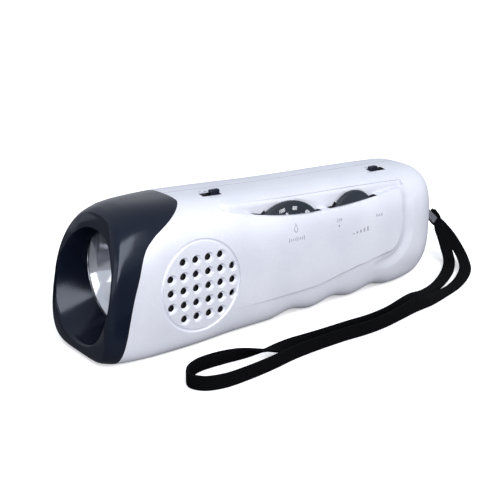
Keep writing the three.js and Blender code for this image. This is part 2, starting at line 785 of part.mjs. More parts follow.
function makeLeftShell(skin, cavity, rear) {
  const panel = formBody(0, panelProud, ringPoints)
    .intersect(prismY(panelOutline(), -bodyWidth, -panelInner));
  const near = block(-overrun, bodyLength + overrun, -bodyWidth, 0, -overrun, bodyHeight + overrun);
  let body = skin.add(panel).intersect(rear).intersect(near).subtract(cavity);
  const bosses = screwPlaces.map(([x, z]) => rod('y', bossRadius, -bodyWidth, 0, x, 0, z,
    bossSides));
  const posts = boardPosts().map(([x, z]) => rod('y', postRadius, -wheelFace - wall, -boardOuter, x,
    0, z, smallSides));
  const inside = skin.intersect(near).intersect(rear);
  body = body.add(union([...bosses, ...posts]).intersect(inside));
  body = body.subtract(ledgeCut()).subtract(grilleHoles()).subtract(grilleGroove());
  body = body.subtract(wheelWell(dialRadius, dialAlong, dialHeight, dialThickness));
  body = body.subtract(wheelWell(volumeRadius, volumeAlong, volumeHeight, volumeThickness));
  body = body.subtract(wheelSlot(dialAlong - dialSlotHalf, dialAlong + dialSlotHalf, dialHeight));
  body = body.subtract(wheelSlot(volumeAlong - volumeSlotFront, volumeSlotTo, volumeHeight));
  body = body.subtract(switchSlot(bandSwitchAlong));
  body = body.subtract(switchSlot(lightSwitchAlong));
  body = body.subtract(pocket()).subtract(pinHole());
  const bores = screwPlaces.map(([x, z]) => rod('y', screwRadius + fit / 2, -screwLength, overrun, x,
    0, z, smallSides));
  body = body.subtract(union(bores));
  addPart('left_shell', shape(body), 'silver');
}

function doorPrism(margin, y0, y1) {
  return prismY([
    [doorFront - margin, doorLow - margin], [doorRear + margin, doorLow - margin],
    [doorRear + margin, doorHigh + margin], [doorFront - margin, doorHigh + margin],
  ], y0, y1);
}

function bayBlock(margin) {
  return block(bayFront - margin, bayRear + margin, bayInner - margin, bodyWidth, bayLow - margin,
    bayHigh + margin);
}

function makeRightShell(skin, cavity, rear) {
  const far = block(-overrun, bodyLength + overrun, seam / 2, bodyWidth, -overrun,
    bodyHeight + overrun);
  let body = skin.intersect(rear).intersect(far).subtract(cavity);
  const bosses = screwPlaces.map(([x, z]) => rod('y', bossRadius + wall / 2, 0, bodyWidth, x, 0, z,
    bossSides));
  const bay = bayBlock(bayWall).subtract(bayBlock(0));
  const inside = skin.intersect(far).intersect(rear);
  const lining = formBody(doorThickness + fit, 0, liningPoints);
  const lip = formBody(wall - fit, 0, liningPoints).subtract(formBody(wall * 2, 0, liningPoints))
    .intersect(doorPrism(doorRest, bayInner, bodyWidth).subtract(bayBlock(0)));
  body = body.add(union([...bosses, bay]).intersect(inside)).add(lip);
  body = body.subtract(doorPrism(doorMargin, bayInner, bodyWidth).subtract(lining));
  body = body.subtract(pocket()).subtract(pinHole());
  screwPlaces.forEach(([x, z]) => {
    body = body.subtract(rod('y', screwRadius + fit, -overrun, bodyWidth, x, 0, z,
      bossSides));
    body = body.subtract(rod('y', screwHeadRadius + fit, screwSeat, bodyWidth, x, 0, z,
      smallSides));
  });
  addPart('right_shell', shape(body), 'silver');
}

function makeDoor(skin) {
  const lining = formBody(doorThickness, 0, liningPoints);
  let body = skin.subtract(lining).intersect(doorPrism(0, bayInner, bodyWidth));
  for (let i = 0; i < gripRibs; i += 1) {
    const x = doorRear - gripRibPitch * (i + 2);
    const middle = (doorLow + doorHigh) / 2;
    body = body.subtract(block(x - gripRibWidth / 2, x + gripRibWidth / 2,
      bodyWidth / 2 - gripRibDepth * 2, bodyWidth, middle - gripRibHeight / 2,
      middle + gripRibHeight / 2));
  }
  addPart('battery_door', shape(body), 'silver');
}

function makeScrews() {
  screwPlaces.forEach(([x, z], i) => {
    const head = screwSeat + screwHeadThickness;
    const tip = screwSeat - screwLength;
    let body = turned([
      [tip, 0], [tip + screwRadius, screwRadius], [screwSeat + fit, screwRadius],
      [screwSeat + fit, screwHeadRadius], [head, screwHeadRadius], [head, 0],
    ], 'y', x, 0, z, smallSides);
    const bar = (dx, dz) => block(x - dx, x + dx, head - slotDepth, head + overrun, z - dz, z + dz);
    body = body.subtract(bar(screwHeadRadius * 0.6, slotWidth / 2));
    body = body.subtract(bar(slotWidth / 2, screwHeadRadius * 0.6));
    addPart(`case_screw_${i + 1}`, shape(body), 'steel');
  });
}

function makeSpeaker() {
  const front = -speakerFace;
  const back = front + speakerDepth;
  const basket = turned([
    [front, speakerRadius - basketWall * 3], [front, speakerRadius],
    [front + speakerFlange, speakerRadius],
    [front + speakerFlange, speakerRadius - basketWall], [back - basketWall, basketNeck + basketWall],
    [back, basketNeck + basketWall], [back, 0], [back - basketWall, 0],
    [back - basketWall, basketNeck], [front + speakerFlange, speakerRadius - basketWall * 3],
    [front, speakerRadius - basketWall * 3],
  ], 'y', grilleAlong, 0, grilleHeight, rimSides);
  addPart('speaker_frame', shape(basket), 'steel');

  const rim = speakerRadius - basketWall * 3 - fit;
  const paperFront = front + fit;
  const deep = paperFront + coneDepth - conePaper;
  const paper = turned([
    [paperFront + conePaper, 0], [paperFront + conePaper * 1.5, dustCapRadius * 0.7],
    [deep - conePaper * 2, dustCapRadius], [paperFront, rim], [paperFront + conePaper, rim],
    [deep, dustCapRadius + conePaper], [deep, 0],
  ], 'y', grilleAlong, 0, grilleHeight, rimSides);
  addPart('speaker_cone', shape(paper), 'paper');

  const magnet = rod('y', magnetRadius, back + fit / 3, back + magnetDepth, grilleAlong, 0,
    grilleHeight, rimSides);
  addPart('speaker_magnet', shape(magnet), 'steel');
}

function makeBoard() {
  const inner = -boardOuter + fit / 3;
  const outline = [
    [boardFront, boardLow], [boardRear, boardLow], [boardRear, boardTopRear],
    [boardNose, boardTop], [boardNose, boardHigh], [boardFront, boardHigh],
  ];
  let body = prismY(outline, inner, inner + boardThickness);
  const hole = (x, z, radius) => rod('y', radius, -bodyWidth, bodyWidth, x, 0, z,
    roundSides);
  body = body.subtract(hole(dialAlong, dialHeight, shaftRadius + fit));
  body = body.subtract(hole(volumeAlong, volumeHeight, shaftRadius + fit));
  screwPlaces.forEach(([x, z]) => {
    body = body.subtract(hole(x, z, bossRadius + fit * 2));
  });
  addPart('circuit_board', shape(body), 'board');
}

function boardInner() {
  return -boardOuter + fit / 3 + boardThickness;
}

function makeTuner() {
  const face = boardInner() + fit / 3;
  const half = tunerSize / 2;
  const body = block(dialAlong - half, dialAlong + half, face, face + tunerDepth, dialHeight - half,
    dialHeight + half);
  const well = rod('y', shaftRadius + fit / 3, face - overrun, face + tunerDepth / 2, dialAlong, 0,
    dialHeight, roundSides);
  addPart('tuning_capacitor', shape(body.subtract(well)), 'tuner');
  const shaft = rod('y', shaftRadius, -wheelFace + dialThickness + fit / 3, face + tunerDepth / 2 - fit,
    dialAlong, 0, dialHeight, roundSides);
  addPart('tuning_shaft', shape(shaft), 'brass');
}

function makeDial() {
  const outline = new THREE.Shape();
  for (let i = 0; i < dialSides * 2; i += 1) {
    const angle = turn * i / (dialSides * 2);
    const radius = dialRadius - (i % 2) * dialKnurl;
    const x = radius * Math.cos(angle);
    const y = radius * Math.sin(angle);
    if (i === 0) {
      outline.moveTo(x, y);
    } else {
      outline.lineTo(x, y);
    }
  }
  const disc = new THREE.ExtrudeGeometry(outline, { depth: dialThickness, bevelEnabled: false });
  disc.rotateX(quarter);
  disc.translate(dialAlong, -wheelFace + dialThickness, dialHeight);
  const sink = rod('y', wheelScrewRadius + fit, -wheelFace - overrun,
    -wheelFace + wheelScrewHead + fit, dialAlong, 0, dialHeight, roundSides);
  addPart('tuning_dial', shape(solid(disc).subtract(sink)), 'darkWheel');
  const screw = rod('y', wheelScrewRadius, -wheelFace + fit / 3, -wheelFace + wheelScrewHead,
    dialAlong, 0, dialHeight, smallSides);
  const bar = block(dialAlong - wheelScrewRadius * 0.7, dialAlong + wheelScrewRadius * 0.7,
    -wheelFace - overrun, -wheelFace + wheelScrewHead / 2, dialHeight - slotWidth / 2,
    dialHeight + slotWidth / 2);
  addPart('dial_screw', shape(screw.subtract(bar)), 'steel');
}

function makeVolume() {
  const face = boardInner() + fit / 3;
  const pot = rod('y', volumeCaseRadius, face, face + volumeCaseDepth, volumeAlong, 0, volumeHeight,
    volumeSides);
  const well = rod('y', shaftRadius + fit / 3, face - overrun, face + volumeCaseDepth / 2,
    volumeAlong, 0, volumeHeight, roundSides);
  addPart('volume_control', shape(pot.subtract(well)), 'electronics');
  const shaft = rod('y', shaftRadius, -wheelFace + volumeThickness + fit / 3,
    face + volumeCaseDepth / 2 - fit, volumeAlong, 0, volumeHeight, roundSides);
  addPart('volume_shaft', shape(shaft), 'brass');
  const wheel = rod('y', volumeRadius, -wheelFace, -wheelFace + volumeThickness, volumeAlong, 0,
    volumeHeight, volumeSides);
  const sink = rod('y', wheelScrewRadius + fit, -wheelFace - overrun,
    -wheelFace + wheelScrewHead + fit, volumeAlong, 0, volumeHeight, roundSides);
  addPart('volume_wheel', shape(wheel.subtract(sink)), 'darkWheel');
  const screw = rod('y', wheelScrewRadius, -wheelFace + fit / 3, -wheelFace + wheelScrewHead,
    volumeAlong, 0, volumeHeight, smallSides);
  const bar = block(volumeAlong - wheelScrewRadius * 0.7, volumeAlong + wheelScrewRadius * 0.7,
    -wheelFace - overrun, -wheelFace + wheelScrewHead / 2, volumeHeight - slotWidth / 2,
    volumeHeight + slotWidth / 2);
  addPart('wheel_screw', shape(screw.subtract(bar)), 'steel');
}

// Height of the top surface at x, this far from the parting plane
function crownAt(x, y) {
  const share = x / bodyLength;
  const halfWidth = along(stationShares, 1, share) * bodyWidth;
  const crown = along(stationShares, 2, share) * bodyHeight;
  const belly = along(stationShares, 3, share) * bodyHeight;
  const power = along(stationShares, 4, share);
  const half = (crown - belly) / 2;
  return (crown + belly) / 2 + half * (1 - (Math.abs(y) / halfWidth) ** power) ** (1 / power);
}

function switchTop(x) {
  return crownAt(x, switchAcross) - wall - switchRoof;
}

// side is -1 when the knob rests at the front of its slot and 1 at the rear
function makeSwitch(name, x, side) {
  const top = switchTop(x);
  const across = -switchAcross;
  const inner = boardInner() + fit / 3;
  const half = switchLength / 2;
  const caseBody = block(x - half, x + half, inner, across + switchWidth / 2 + fit, top - switchDepth,
    top);
  const room = knobTravel / 2 + knobLength / 2 + fit;
  const well = block(x - room, x + room, across - knobWidth / 2 - fit, across + knobWidth / 2 + fit,
    top - knobFoot - fit, top + overrun);
  addPart(`${name}_switch_case`, shape(caseBody.subtract(well)), 'steel');
  const middle = x + side * knobTravel / 2;
  const high = crownAt(x, switchAcross) + knobProud;
  const knob = block(middle - knobLength / 2, middle + knobLength / 2, across - knobWidth / 2,
    across + knobWidth / 2, top - knobFoot, high);
  addPart(`${name}_switch_knob`, shape(knob), 'black');
}

function makeAerial() {
  const half = ferriteLength / 2;
  const end = ferriteAlong + half;
  const height = crownAt(end, boardFace) - wall - ferriteRoof - rodClipWall - ferriteRadius;
  const core = rod('x', ferriteRadius, end - ferriteLength, end, 0, -ferriteAcross, height,
    smallSides);
  addPart('ferrite_rod', shape(core), 'ferrite');
  const bore = rod('x', ferriteRadius + fit / 3, end - ferriteLength - overrun, end + overrun, 0,
    -ferriteAcross, height, smallSides);
  const outer = rod('x', coilRadius, ferriteAlong - coilLength / 2, ferriteAlong + coilLength / 2, 0,
    -ferriteAcross, height, roundSides);
  addPart('aerial_coil', shape(outer.subtract(bore)), 'copper');
  const tall = ferriteRadius + rodClipWall;
  ['front', 'rear'].forEach((name, i) => {
    const x = ferriteAlong + (i === 0 ? -1 : 1) * ferriteLength * rodClipPlaceShare;
    const arm = block(x - rodClipThickness / 2, x + rodClipThickness / 2, boardInner() + fit / 3,
      -ferriteAcross + ferriteRadius / 2, height - ferriteRadius * 0.8, height + tall);
    addPart(`${name}_rod_clip`, shape(arm.subtract(bore)), 'tuner');
  });
}

function makeComponents() {
  const face = boardInner() + fit / 3;
  const chipAlong = dialAlong - chipBack;
  const chipTop = dialHeight - tunerSize / 2 - chipGap;
  addPart('radio_chip', shape(block(chipAlong - chipLength / 2, chipAlong + chipLength / 2, face,
    face + chipDepth, chipTop - chipHeight, chipTop)), 'electronics');
  const capBase = boardLow + capLift;
  addPart('filter_capacitor', shape(rod('z', capRadius, capBase, capBase + capLength,
    dialAlong + capStep, face + capRadius, 0, smallSides)), 'electronics');
}

function makeBatteries() {
  ['lower', 'upper'].forEach((name, i) => {
    const z = batteryLowHeight + batteryStep * i;
    const side = i === 0 ? 1 : -1;
    const middle = batteryFront + batteryLength / 2;
    const half = batteryLength / 2;
    const cell = turned([
      [-half, 0], [-half, batteryRadius * 0.8], [-half + nubLength, batteryRadius],
      [half - nubLength * 2, batteryRadius], [half - nubLength, batteryRadius * 0.9],
      [half - nubLength, nubRadius], [half, nubRadius], [half, 0],
    ], 'x', 0, 0, 0, roundSides);
    const geometry = shape(cell);
    if (side < 0) {
      geometry.rotateZ(Math.PI);
    }
    geometry.translate(middle, batteryAcross, z);
    addPart(`${name}_battery`, geometry, 'battery');
    makeContacts(name, side, middle, z);
  });
}

// A coil spring at the flat end of each cell and a plate at its nub
function makeContacts(name, side, middle, z) {
  const half = batteryLength / 2;
  const plateAt = side > 0 ? bayRear : bayFront;
  const inward = side > 0 ? -1 : 1;
  const plateFace = plateAt + inward * fit / 3;
  const nubEnd = middle + side * half;
  const reach = nubEnd - inward * fit;
  const low = Math.min(plateFace, plateFace + inward * contactThickness);
  const base = block(low, low + contactThickness, batteryAcross - contactHalf,
    batteryAcross + contactHalf, z - contactHalf, z + contactHalf);
  const dimple = rod('x', nubRadius, Math.min(low, reach), Math.max(low, reach), 0, batteryAcross, z,
    smallSides);
  addPart(`${name}_contact`, shape(base.add(dimple)), 'steel');

  const springAt = side > 0 ? bayFront : bayRear;
  const start = springAt - inward * (fit / 3 + springWire);
  const end = middle - side * (half + fit + springWire);
  class Helix extends THREE.Curve {
    getPoint(t, target = new THREE.Vector3()) {
      const angle = turn * springTurns * t;
      return target.set(mix(start, end, t), batteryAcross + springRadius * Math.cos(angle),
        z + springRadius * Math.sin(angle));
    }
  }
  const wire = new THREE.Shape();
  for (let i = 0; i < 5; i += 1) {
    const angle = turn * i / 5;
    const point = [springWire * Math.cos(angle), springWire * Math.sin(angle)];
    if (i === 0) {
      wire.moveTo(...point);
    } else {
      wire.lineTo(...point);
    }
  }
  const spring = new THREE.ExtrudeGeometry(wire, {
    steps: springSteps, extrudePath: new Helix(), bevelEnabled: false,
  });
  addPart(`${name}_spring`, shape(solid(spring)), 'steel');
}

function makePin() {
  const pin = rod('z', pinRadius, pocketLow - pinSeat + fit, pocketHigh + pinSeat - fit, pinAlong,
    0, 0, smallSides);
  addPart('strap_pin', shape(pin), 'steel');
}

// Folded strip round the upright pin: a hairpin in plan, tilted down to the strap
function makeClip() {
  const outer = clipGap + clipSheet;
  const hairpin = new THREE.Shape();
  hairpin.moveTo(clipLength, -outer);
  hairpin.lineTo(clipLength, -clipGap);
  hairpin.lineTo(-clipHeel + clipGap, -clipGap);
  hairpin.absarc(-clipHeel + clipGap, 0, clipGap, -quarter, quarter, true);
  hairpin.lineTo(clipLength, clipGap);
  hairpin.lineTo(clipLength, outer);
  hairpin.lineTo(-clipHeel + clipGap, outer);
  hairpin.absarc(-clipHeel + clipGap, 0, outer, quarter, -quarter, false);
  const strip = new THREE.ExtrudeGeometry(hairpin, {
    depth: clipWidth, bevelEnabled: false, curveSegments: 8,
  });
  strip.translate(0, 0, -clipWidth / 2);
  strip.rotateY(THREE.MathUtils.degToRad(clipTilt));
  strip.translate(pinAlong, 0, clipHeight);
  addPart('strap_clip', shape(solid(strip)), 'chrome');
}

// Tape that stands on its edge, and leans over or lies flat where its route says so
function makeStrap() {
  const half = strapWidth / 2;
  const thick = strapThickness / 2;
  const lying = (lean) => half * Math.abs(Math.cos(lean)) + thick * Math.abs(Math.sin(lean));
  const places = strapRoute.map(([x, y, rise, lean]) => new THREE.Vector3(pinAlong + x, y,
    lying(THREE.MathUtils.degToRad(lean)) + strapLift + rise * clipHeight));
  const route = new THREE.CatmullRomCurve3(places, false, 'centripetal');
  const leans = strapRoute.map((row, i) => [i, row[3]]);
  route.computeFrenetFrames = (steps) => {
    const frames = { tangents: [], normals: [], binormals: [] };
    for (let i = 0; i <= steps; i += 1) {
      const tangent = route.getTangentAt(i / steps);
      const row = route.getUtoTmapping(i / steps) * (strapRoute.length - 1);
      const lean = THREE.MathUtils.degToRad(along(leans, 1, row));
      const normal = new THREE.Vector3(tangent.y, -tangent.x, 0).normalize();
      normal.applyAxisAngle(tangent, -lean);
      frames.tangents.push(tangent);
      frames.normals.push(normal);
      frames.binormals.push(new THREE.Vector3().crossVectors(tangent, normal));
    }
    return frames;
  };
  const outline = new THREE.Shape([
    [half, 0], [half - thick, thick], [thick - half, thick],
    [-half, 0], [thick - half, -thick], [half - thick, -thick],
  ].map(([wide, thin]) => new THREE.Vector2(thin, wide)));
  const tape = new THREE.ExtrudeGeometry(outline, {
    steps: strapSteps, extrudePath: route, bevelEnabled: false,
  });
  addPart('wrist_strap', shape(solid(tape)), 'webbing');
}

function makeCasing() {
  const floor = block(-overrun, bodyLength + overrun, -bodyWidth, bodyWidth, 0, bodyHeight + overrun);
  const skin = formBody(0, 0, ringPoints).intersect(floor);
  const cavity = makeCavity();
  const rear = block(-overrun, bodyLength + overrun, -bodyWidth, bodyWidth, -overrun,
    bodyHeight + overrun).subtract(frontRegion(seam));
  makeLeftShell(skin, cavity, rear);
  makeRightShell(skin, cavity, rear);
  makeDoor(skin);
}

makeBezel();
makeLamp();
makeCasing();
makeScrews();
makeSpeaker();
makeBoard();
makeTuner();
makeDial();
makeVolume();
makeSwitch('band', bandSwitchAlong, 1);
makeSwitch('light', lightSwitchAlong, -1);
makeAerial();
makeComponents();
makeBatteries();
makePin();
makeClip();
makeStrap();

// The origin is the middle of the base of everything but the strap and its clip
const flashlightRadio = new THREE.Group();
const standing = new THREE.Box3();
parts.forEach((part) => {
  flashlightRadio.add(part);
  if (part.name !== 'wrist_strap' && part.name !== 'strap_clip') {
    standing.expandByObject(part);
  }
});
const middle = standing.getCenter(new THREE.Vector3());
flashlightRadio.position.set(-middle.x, -middle.y, -standing.min.z);

export default flashlightRadio;
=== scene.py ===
"""Flashlight radio: smooth mouldings, lamp, controls, printed marks and woven wrist strap."""
import math

import bmesh
import bpy
from mathutils import Matrix, Vector
from mathutils.bvhtree import BVHTree


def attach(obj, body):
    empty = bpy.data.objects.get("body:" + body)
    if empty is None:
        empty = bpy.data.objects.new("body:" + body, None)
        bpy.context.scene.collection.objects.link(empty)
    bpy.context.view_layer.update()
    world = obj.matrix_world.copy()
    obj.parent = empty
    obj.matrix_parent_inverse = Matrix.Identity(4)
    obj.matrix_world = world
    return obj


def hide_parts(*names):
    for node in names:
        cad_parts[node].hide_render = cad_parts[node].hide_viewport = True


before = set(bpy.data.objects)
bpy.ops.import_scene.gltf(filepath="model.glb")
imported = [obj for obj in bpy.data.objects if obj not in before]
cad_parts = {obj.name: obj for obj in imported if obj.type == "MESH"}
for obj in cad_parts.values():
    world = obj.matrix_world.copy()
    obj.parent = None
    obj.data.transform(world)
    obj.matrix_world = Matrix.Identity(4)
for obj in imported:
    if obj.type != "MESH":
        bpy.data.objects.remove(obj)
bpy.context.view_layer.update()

# Everything is drawn in millimetres, x from the front rim, y from the parting plane and z from
# the table, and is moved into the model's own place and metres when a piece is finished.
MM = 0.001
LENGTH, WIDTH, HEIGHT = 172.4, 44.0, 55.6
TO_MODEL = Matrix.Scale(MM, 4) @ Matrix.Translation((-86.2, 0.3621, 0.0))
WALL, FIT, SEAM, FAR, SPARE = 2.0, 0.3, 0.35, 12.0, 1.5
# How far below the skin a face may lie and keep the silver paint, and beside the grille's holes;
# faces deeper down get a near-black finish, painted shade
SHADE_DEPTH, DIMPLE_DEPTH = 0.4, 1.15

# Casing sections: place along the length, half width, crown, belly, upper and lower squareness
SECTIONS = [
    (0.0, 0.5, 0.97, 0.014, 2.35, 4.6),
    (0.03, 0.5, 0.992, 0.002, 2.55, 6.2),
    (0.075, 0.5, 0.999, -0.006, 2.8, 7.4),
    (0.13, 0.5, 1.0, -0.01, 3.0, 8.0),
    (0.2, 0.5, 1.0, -0.01, 3.15, 7.8),
    (0.34, 0.498, 0.983, -0.01, 3.4, 5.6),
    (0.51, 0.49, 0.96, -0.01, 3.3, 5.2),
    (0.69, 0.48, 0.946, -0.01, 3.3, 4.4),
    (0.86, 0.467, 0.934, -0.01, 3.2, 3.9),
    (1.0, 0.45, 0.918, 0.03, 3.0, 3.0),
]
# Rear edge of the bezel: place in bezel units, height as a share of the casing's
BEZEL_EDGE = [
    (0.11, 0.0), (0.16, 0.1), (0.203, 0.21), (0.247, 0.345), (0.293, 0.47), (0.352, 0.6),
    (0.397, 0.7), (0.447, 0.764), (0.503, 0.802), (0.568, 0.836), (0.64, 0.864), (0.725, 0.896),
    (0.815, 0.932), (0.895, 0.965), (0.945, 0.986), (0.962, 1.0),
]
BEZEL_UNIT = 40.0
RAKE, RAKE_POWER, RAKE_REACH = 0.232, 2.0, 50.0
NOSE_ROUND, TAIL_ROUND = 1.6, 15.0
GROOVES, GROOVE_START, GROOVE_PITCH, GROOVE_DEPTH, GROOVE_FADE = 3, 75.304, 22.999, 2.3, 3.0
LAMP_HEIGHT, LENS_FACE, LENS_RADIUS, LENS_VIEW = 27.5, 14.5, 18.0, 17.0
LENS_BULGE, LENS_EDGE, LENS_BACK = 0.5, 0.3, 16.8
BOWL_FROM, BOWL_DEPTH, BOWL_NECK, BOWL_FLANGE, BOWL_BACK = 17.1, 15.5, 4.6, 1.5, 34.1
BULB_BACK, BULB_TIP, BULB_RADIUS, BULB_WALL = 34.4, 21.4, 3.0, 0.35
# Places from the bulb's back and radii of its cap
CAP_PROFILE = [(-2.4, 0.0), (-2.4, 2.2), (-2.0, 2.55), (-1.4, 4.1), (0.0, 4.2), (0.0, 4.3),
               (0.4, 4.3), (0.7, 4.1), (6.4, 4.1), (7.0, 3.4), (7.0, 0.0)]
FILAMENT_TURNS, FILAMENT_RADIUS, FILAMENT_HALF, FILAMENT_AT = 8, 0.28, 1.1, 25.4
FILAMENT_WIRE, LEG_WIRE = 0.06, 0.12
LAMP_CENTRE = (0, 0, LAMP_HEIGHT)
MOUTH_HALF_WIDTH, MOUTH_HALF_HEIGHT, MOUTH_MIDDLE = 19.6, 21.0, 26.42
MOUTH_LIP, MOUTH_SQUARENESS, PLUG_END = 1.2, 2.2, 22.5
GRILLE, HOLES_AT = (40.3, 24.6), (41.3, 23.9)
HOLE_PITCH, HOLE_ROWS = 5.5, (4, 6, 6, 6, 4)
# Places into the wall and radii of a hole, from the skin inwards
HOLE_PROFILE = [(-0.7, 2.75), (-0.12, 2.2), (0.12, 2.06), (0.45, 1.9), (0.85, 1.62), (1.2, 1.3),
                (6.0, 1.3)]
RIM_RADIUS, RIM_WIDTH, RIM_DEPTH = 18.0, 1.5, 0.65
LEDGE_START, LEDGE_END, LEDGE_TOP, LEDGE_LOW, LEDGE_REAR = 44.0, 147.46, 53.8, 42.6, 45.4
LEDGE_LOW_ALONG, LEDGE_DEPTH_AT, LEDGE_CORNER = 104.0, 16.6, 0.5
LEDGE_FRONT_BEND, LEDGE_REAR_BEND = 2.1, 1.8
PANEL_PROUD, PANEL_FROM, PANEL_TO, PANEL_REAR = 1.2, 50.0, 92.0, 145.3
PANEL_CORNER, PANEL_BELLY, PANEL_BELLY_REAR = 9.0, 11.4, 17.6
# Block of the panel: place across, growth of its outline there
PANEL_STEPS = ((-12.0, 3.4), (-19.0, 3.4), (-24.4, -4.6))
VALLEY_REAR, VALLEY_LOW, VALLEY_REACH = 147.2, 16.1, 11.0
# Section of the channel beside the panel: place across it, share of its depth
VALLEY_PROFILE = [(-2.8, -1.35), (-2.0, -0.95), (-0.9, -0.25), (0.2, 0.4), (1.0, 0.75),
                  (1.7, 0.85), (3.0, 0.65), (4.6, 0.35), (6.0, 0.08), (7.2, -0.05)]
WHEEL_FACE, WHEEL_THICKNESS, WELL_CLEAR, KNURL_DEPTH, DIAL = 19.0, 2.0, 0.5, 0.25, (84.0, 29.0)
# Edge of a wheel's rim: place from its face, how far it is drawn in
WHEEL_EDGE = ((0.0, 0.45), (0.12, 0.15), (0.4, 0.0))
# Thumbwheels: piece, body, solid, centre, radius, ridges on the rim, ends of the slot
WHEELS = (
    ("tuning_disc", "tuning_wheel", "tuning_dial", DIAL, 20.0, 90, (66.8, 101.2)),
    ("volume_disc", "volume_thumbwheel", "volume_wheel", (118.9, 36.4), 11.4, 54, (105.4, 131.6)),
)
# Slide switches: piece, body, solid, place along the top, end of the slot where the knob rests
SWITCHES = (("band_slide", "band_knob", "band_switch_knob", 54.2, 1),
            ("light_slide", "light_knob", "light_switch_knob", 140.6, -1))
SWITCH_ACROSS, SWITCH_ROOF, KNOB_LENGTH, KNOB_WIDTH, KNOB_TRAVEL = 8.4, 1.9, 4.2, 2.2, 3.5
KNOB_CLEAR, KNOB_PROUD, KNOB_FOOT, KNOB_ROUND = 0.5, 1.6, 1.6, 0.5
RIB_RADIUS, RIB_PITCH, RIB_UP = 0.24, 0.85, 0.05
POCKET_DEPTH, POCKET_HALF_WIDTH, POCKET_LOW, POCKET_HIGH = 9.6, 4.6, 27.0, 43.0
PIN_ALONG, PIN_RADIUS, PIN_SEAT = 168.2, 1.1, 1.5
BAY = (67.0, 126.8, 3.0, 10.4, 41.2)
DOOR = (64.0, 129.8, 8.4, 43.2)
BAY_WALL, DOOR_THICKNESS, DOOR_MARGIN, DOOR_REST = 1.4, 1.9, 0.4, 1.6
GRIP_PITCH, GRIP_WIDTH, GRIP_DEPTH, GRIP_HALF = 2.6, 1.1, 1.2, 8.0
CELL_FRONT, CELL_REAR, CELL_ACROSS, CELL_MIDDLE, CELL_FACE = 72.2, 121.6, 11.0, 96.9, 6.3
# Cell: places from its flat end and from its button end, with radii
CELL_FLAT = [(0.0, 0.0), (0.0, 5.6), (0.3, 5.8), (0.35, 6.6), (0.8, 7.2)]
CELL_BUTTON = [(-2.0, 7.2), (-1.3, 6.8), (-1.2, 6.2), (-1.25, 2.9), (-1.0, 2.7), (-0.3, 2.7),
               (0.0, 2.4), (0.0, 0.0)]
# Cells: name, height, way that the positive end points, ends of the spring
CELLS = (("lower", 18.4, 1, 67.55, 71.45), ("upper", 33.4, -1, 126.25, 122.35))
SPRING_TURNS, SPRING_RADIUS, SPRING_WIRE = 2.5, 3.4, 0.45
CLIP_LENGTH, CLIP_WIDTH, CLIP_GAP, CLIP_SHEET, CLIP_HEEL = 25.5, 3.2, 1.85, 0.6, 3.6
CLIP_TILT, CLIP_ROUND = 42, 0.14
FELT_GAP, FELT_SHEET, FELT_RADIUS, FOAM_WIDTH, FOAM_END = 0.9, 0.5, 16.4, 2.0, -16.45
SCREWS = [(62.1, 6.2), (62.1, 46.6), (121.3, 6.2), (157.0, 13.0), (157.0, 41.0)]
BOSS_RADIUS, BORE_RADIUS, HEAD_BORE_RADIUS = 4.0, 1.6, 2.8
SCREW_RADIUS, SCREW_END, HEAD_RADIUS, HEAD_SEAT, HEAD_FACE = 1.25, -7.0, 2.5, 7.0, 8.8

# Numbers on the dial: size, distance from the centre, then angle and text of each
DIAL_NUMBERS = (
    (2.1, 17.0, ((-54, "1400"), (-33, "1200"), (-11.6, "1000"), (10.2, "800"), (34, "600"),
                 (56, "530"))),
    (1.9, 14.9, ((-50, "104"), (-27, "100"), (-3.1, "96"), (27, "92"), (50, "88"))),
)
INK = 0.04

STRAP_WIDTH, STRAP_THICKNESS, STRAP_LIFT, CLIP_HEIGHT = 5.5, 1.2, 0.15, 36.2
# Strap route: place from the strap pin, side place, rise in clip heights, lean in degrees
STRAP_ROUTE = [
    (18.2, -0.75, 0.5309, 0), (19.2, -0.75, 0.5055, 0), (21.3, -0.8, 0.446, 17),
    (22.2, -1.8, 0.3945, 80), (21.6, -5.1, 0.2808, 84), (20.6, -8.5, 0.1517, 78),
    (19.3, -11.7, 0.0418, 95), (12, -18, 0, 96), (1.3, -24.8, 0, 90), (-10, -30.4, 0, 90),
    (-20.3, -34, 0, 98), (-30.7, -37.3, 0, 125), (-41.2, -40.9, 0, 155), (-53.2, -44, 0, 176),
    (-65.2, -45.4, 0, 180), (-76.2, -45.2, 0, 180), (-88.2, -45.4, 0, 178), (-99.2, -45.6, 0, 160),
    (-108.2, -44.8, 0.0294, 112), (-117.2, -42.6, 0.0134, 52), (-126.2, -40, 0, 12),
    (-134.7, -38.8, 0, 0), (-142.2, -39.4, 0, 0), (-148.2, -42.6, 0, 0), (-151, -47.6, 0, 0),
    (-148.6, -52.6, 0, 0), (-141.9, -55.1, 0, 0), (-131.5, -55, 0, 0), (-119.7, -53.6, 0, 0),
    (-106.5, -51.2, 0, 0), (-94, -50.2, 0, 0), (-81.7, -49.9, 0, 0), (-70, -50.3, 0, 2),
    (-59.7, -49.5, 0, 6), (-49.2, -47.3, 0, 16), (-37.7, -44.5, 0, 36), (-27.7, -42.6, 0, 62),
    (-16.1, -39.2, 0, 80), (-4.7, -35.6, 0, 90), (7.5, -29.9, 0, 90), (16.3, -24.3, 0.0214, 82),
    (21, -19.1, 0.0641, 83), (26.7, -10.8, 0.126, 94), (27.5, -5.1, 0.2163, 118),
    (25.5, 0.1, 0.3407, 146), (21.4, 1.1, 0.4495, 177), (19.2, 0.75, 0.5048, 183),
    (18.2, 0.75, 0.5309, 180),
]


# Camera

def new_object(name, data):
    item = bpy.data.objects.new(name, data)
    bpy.context.collection.objects.link(item)
    return item


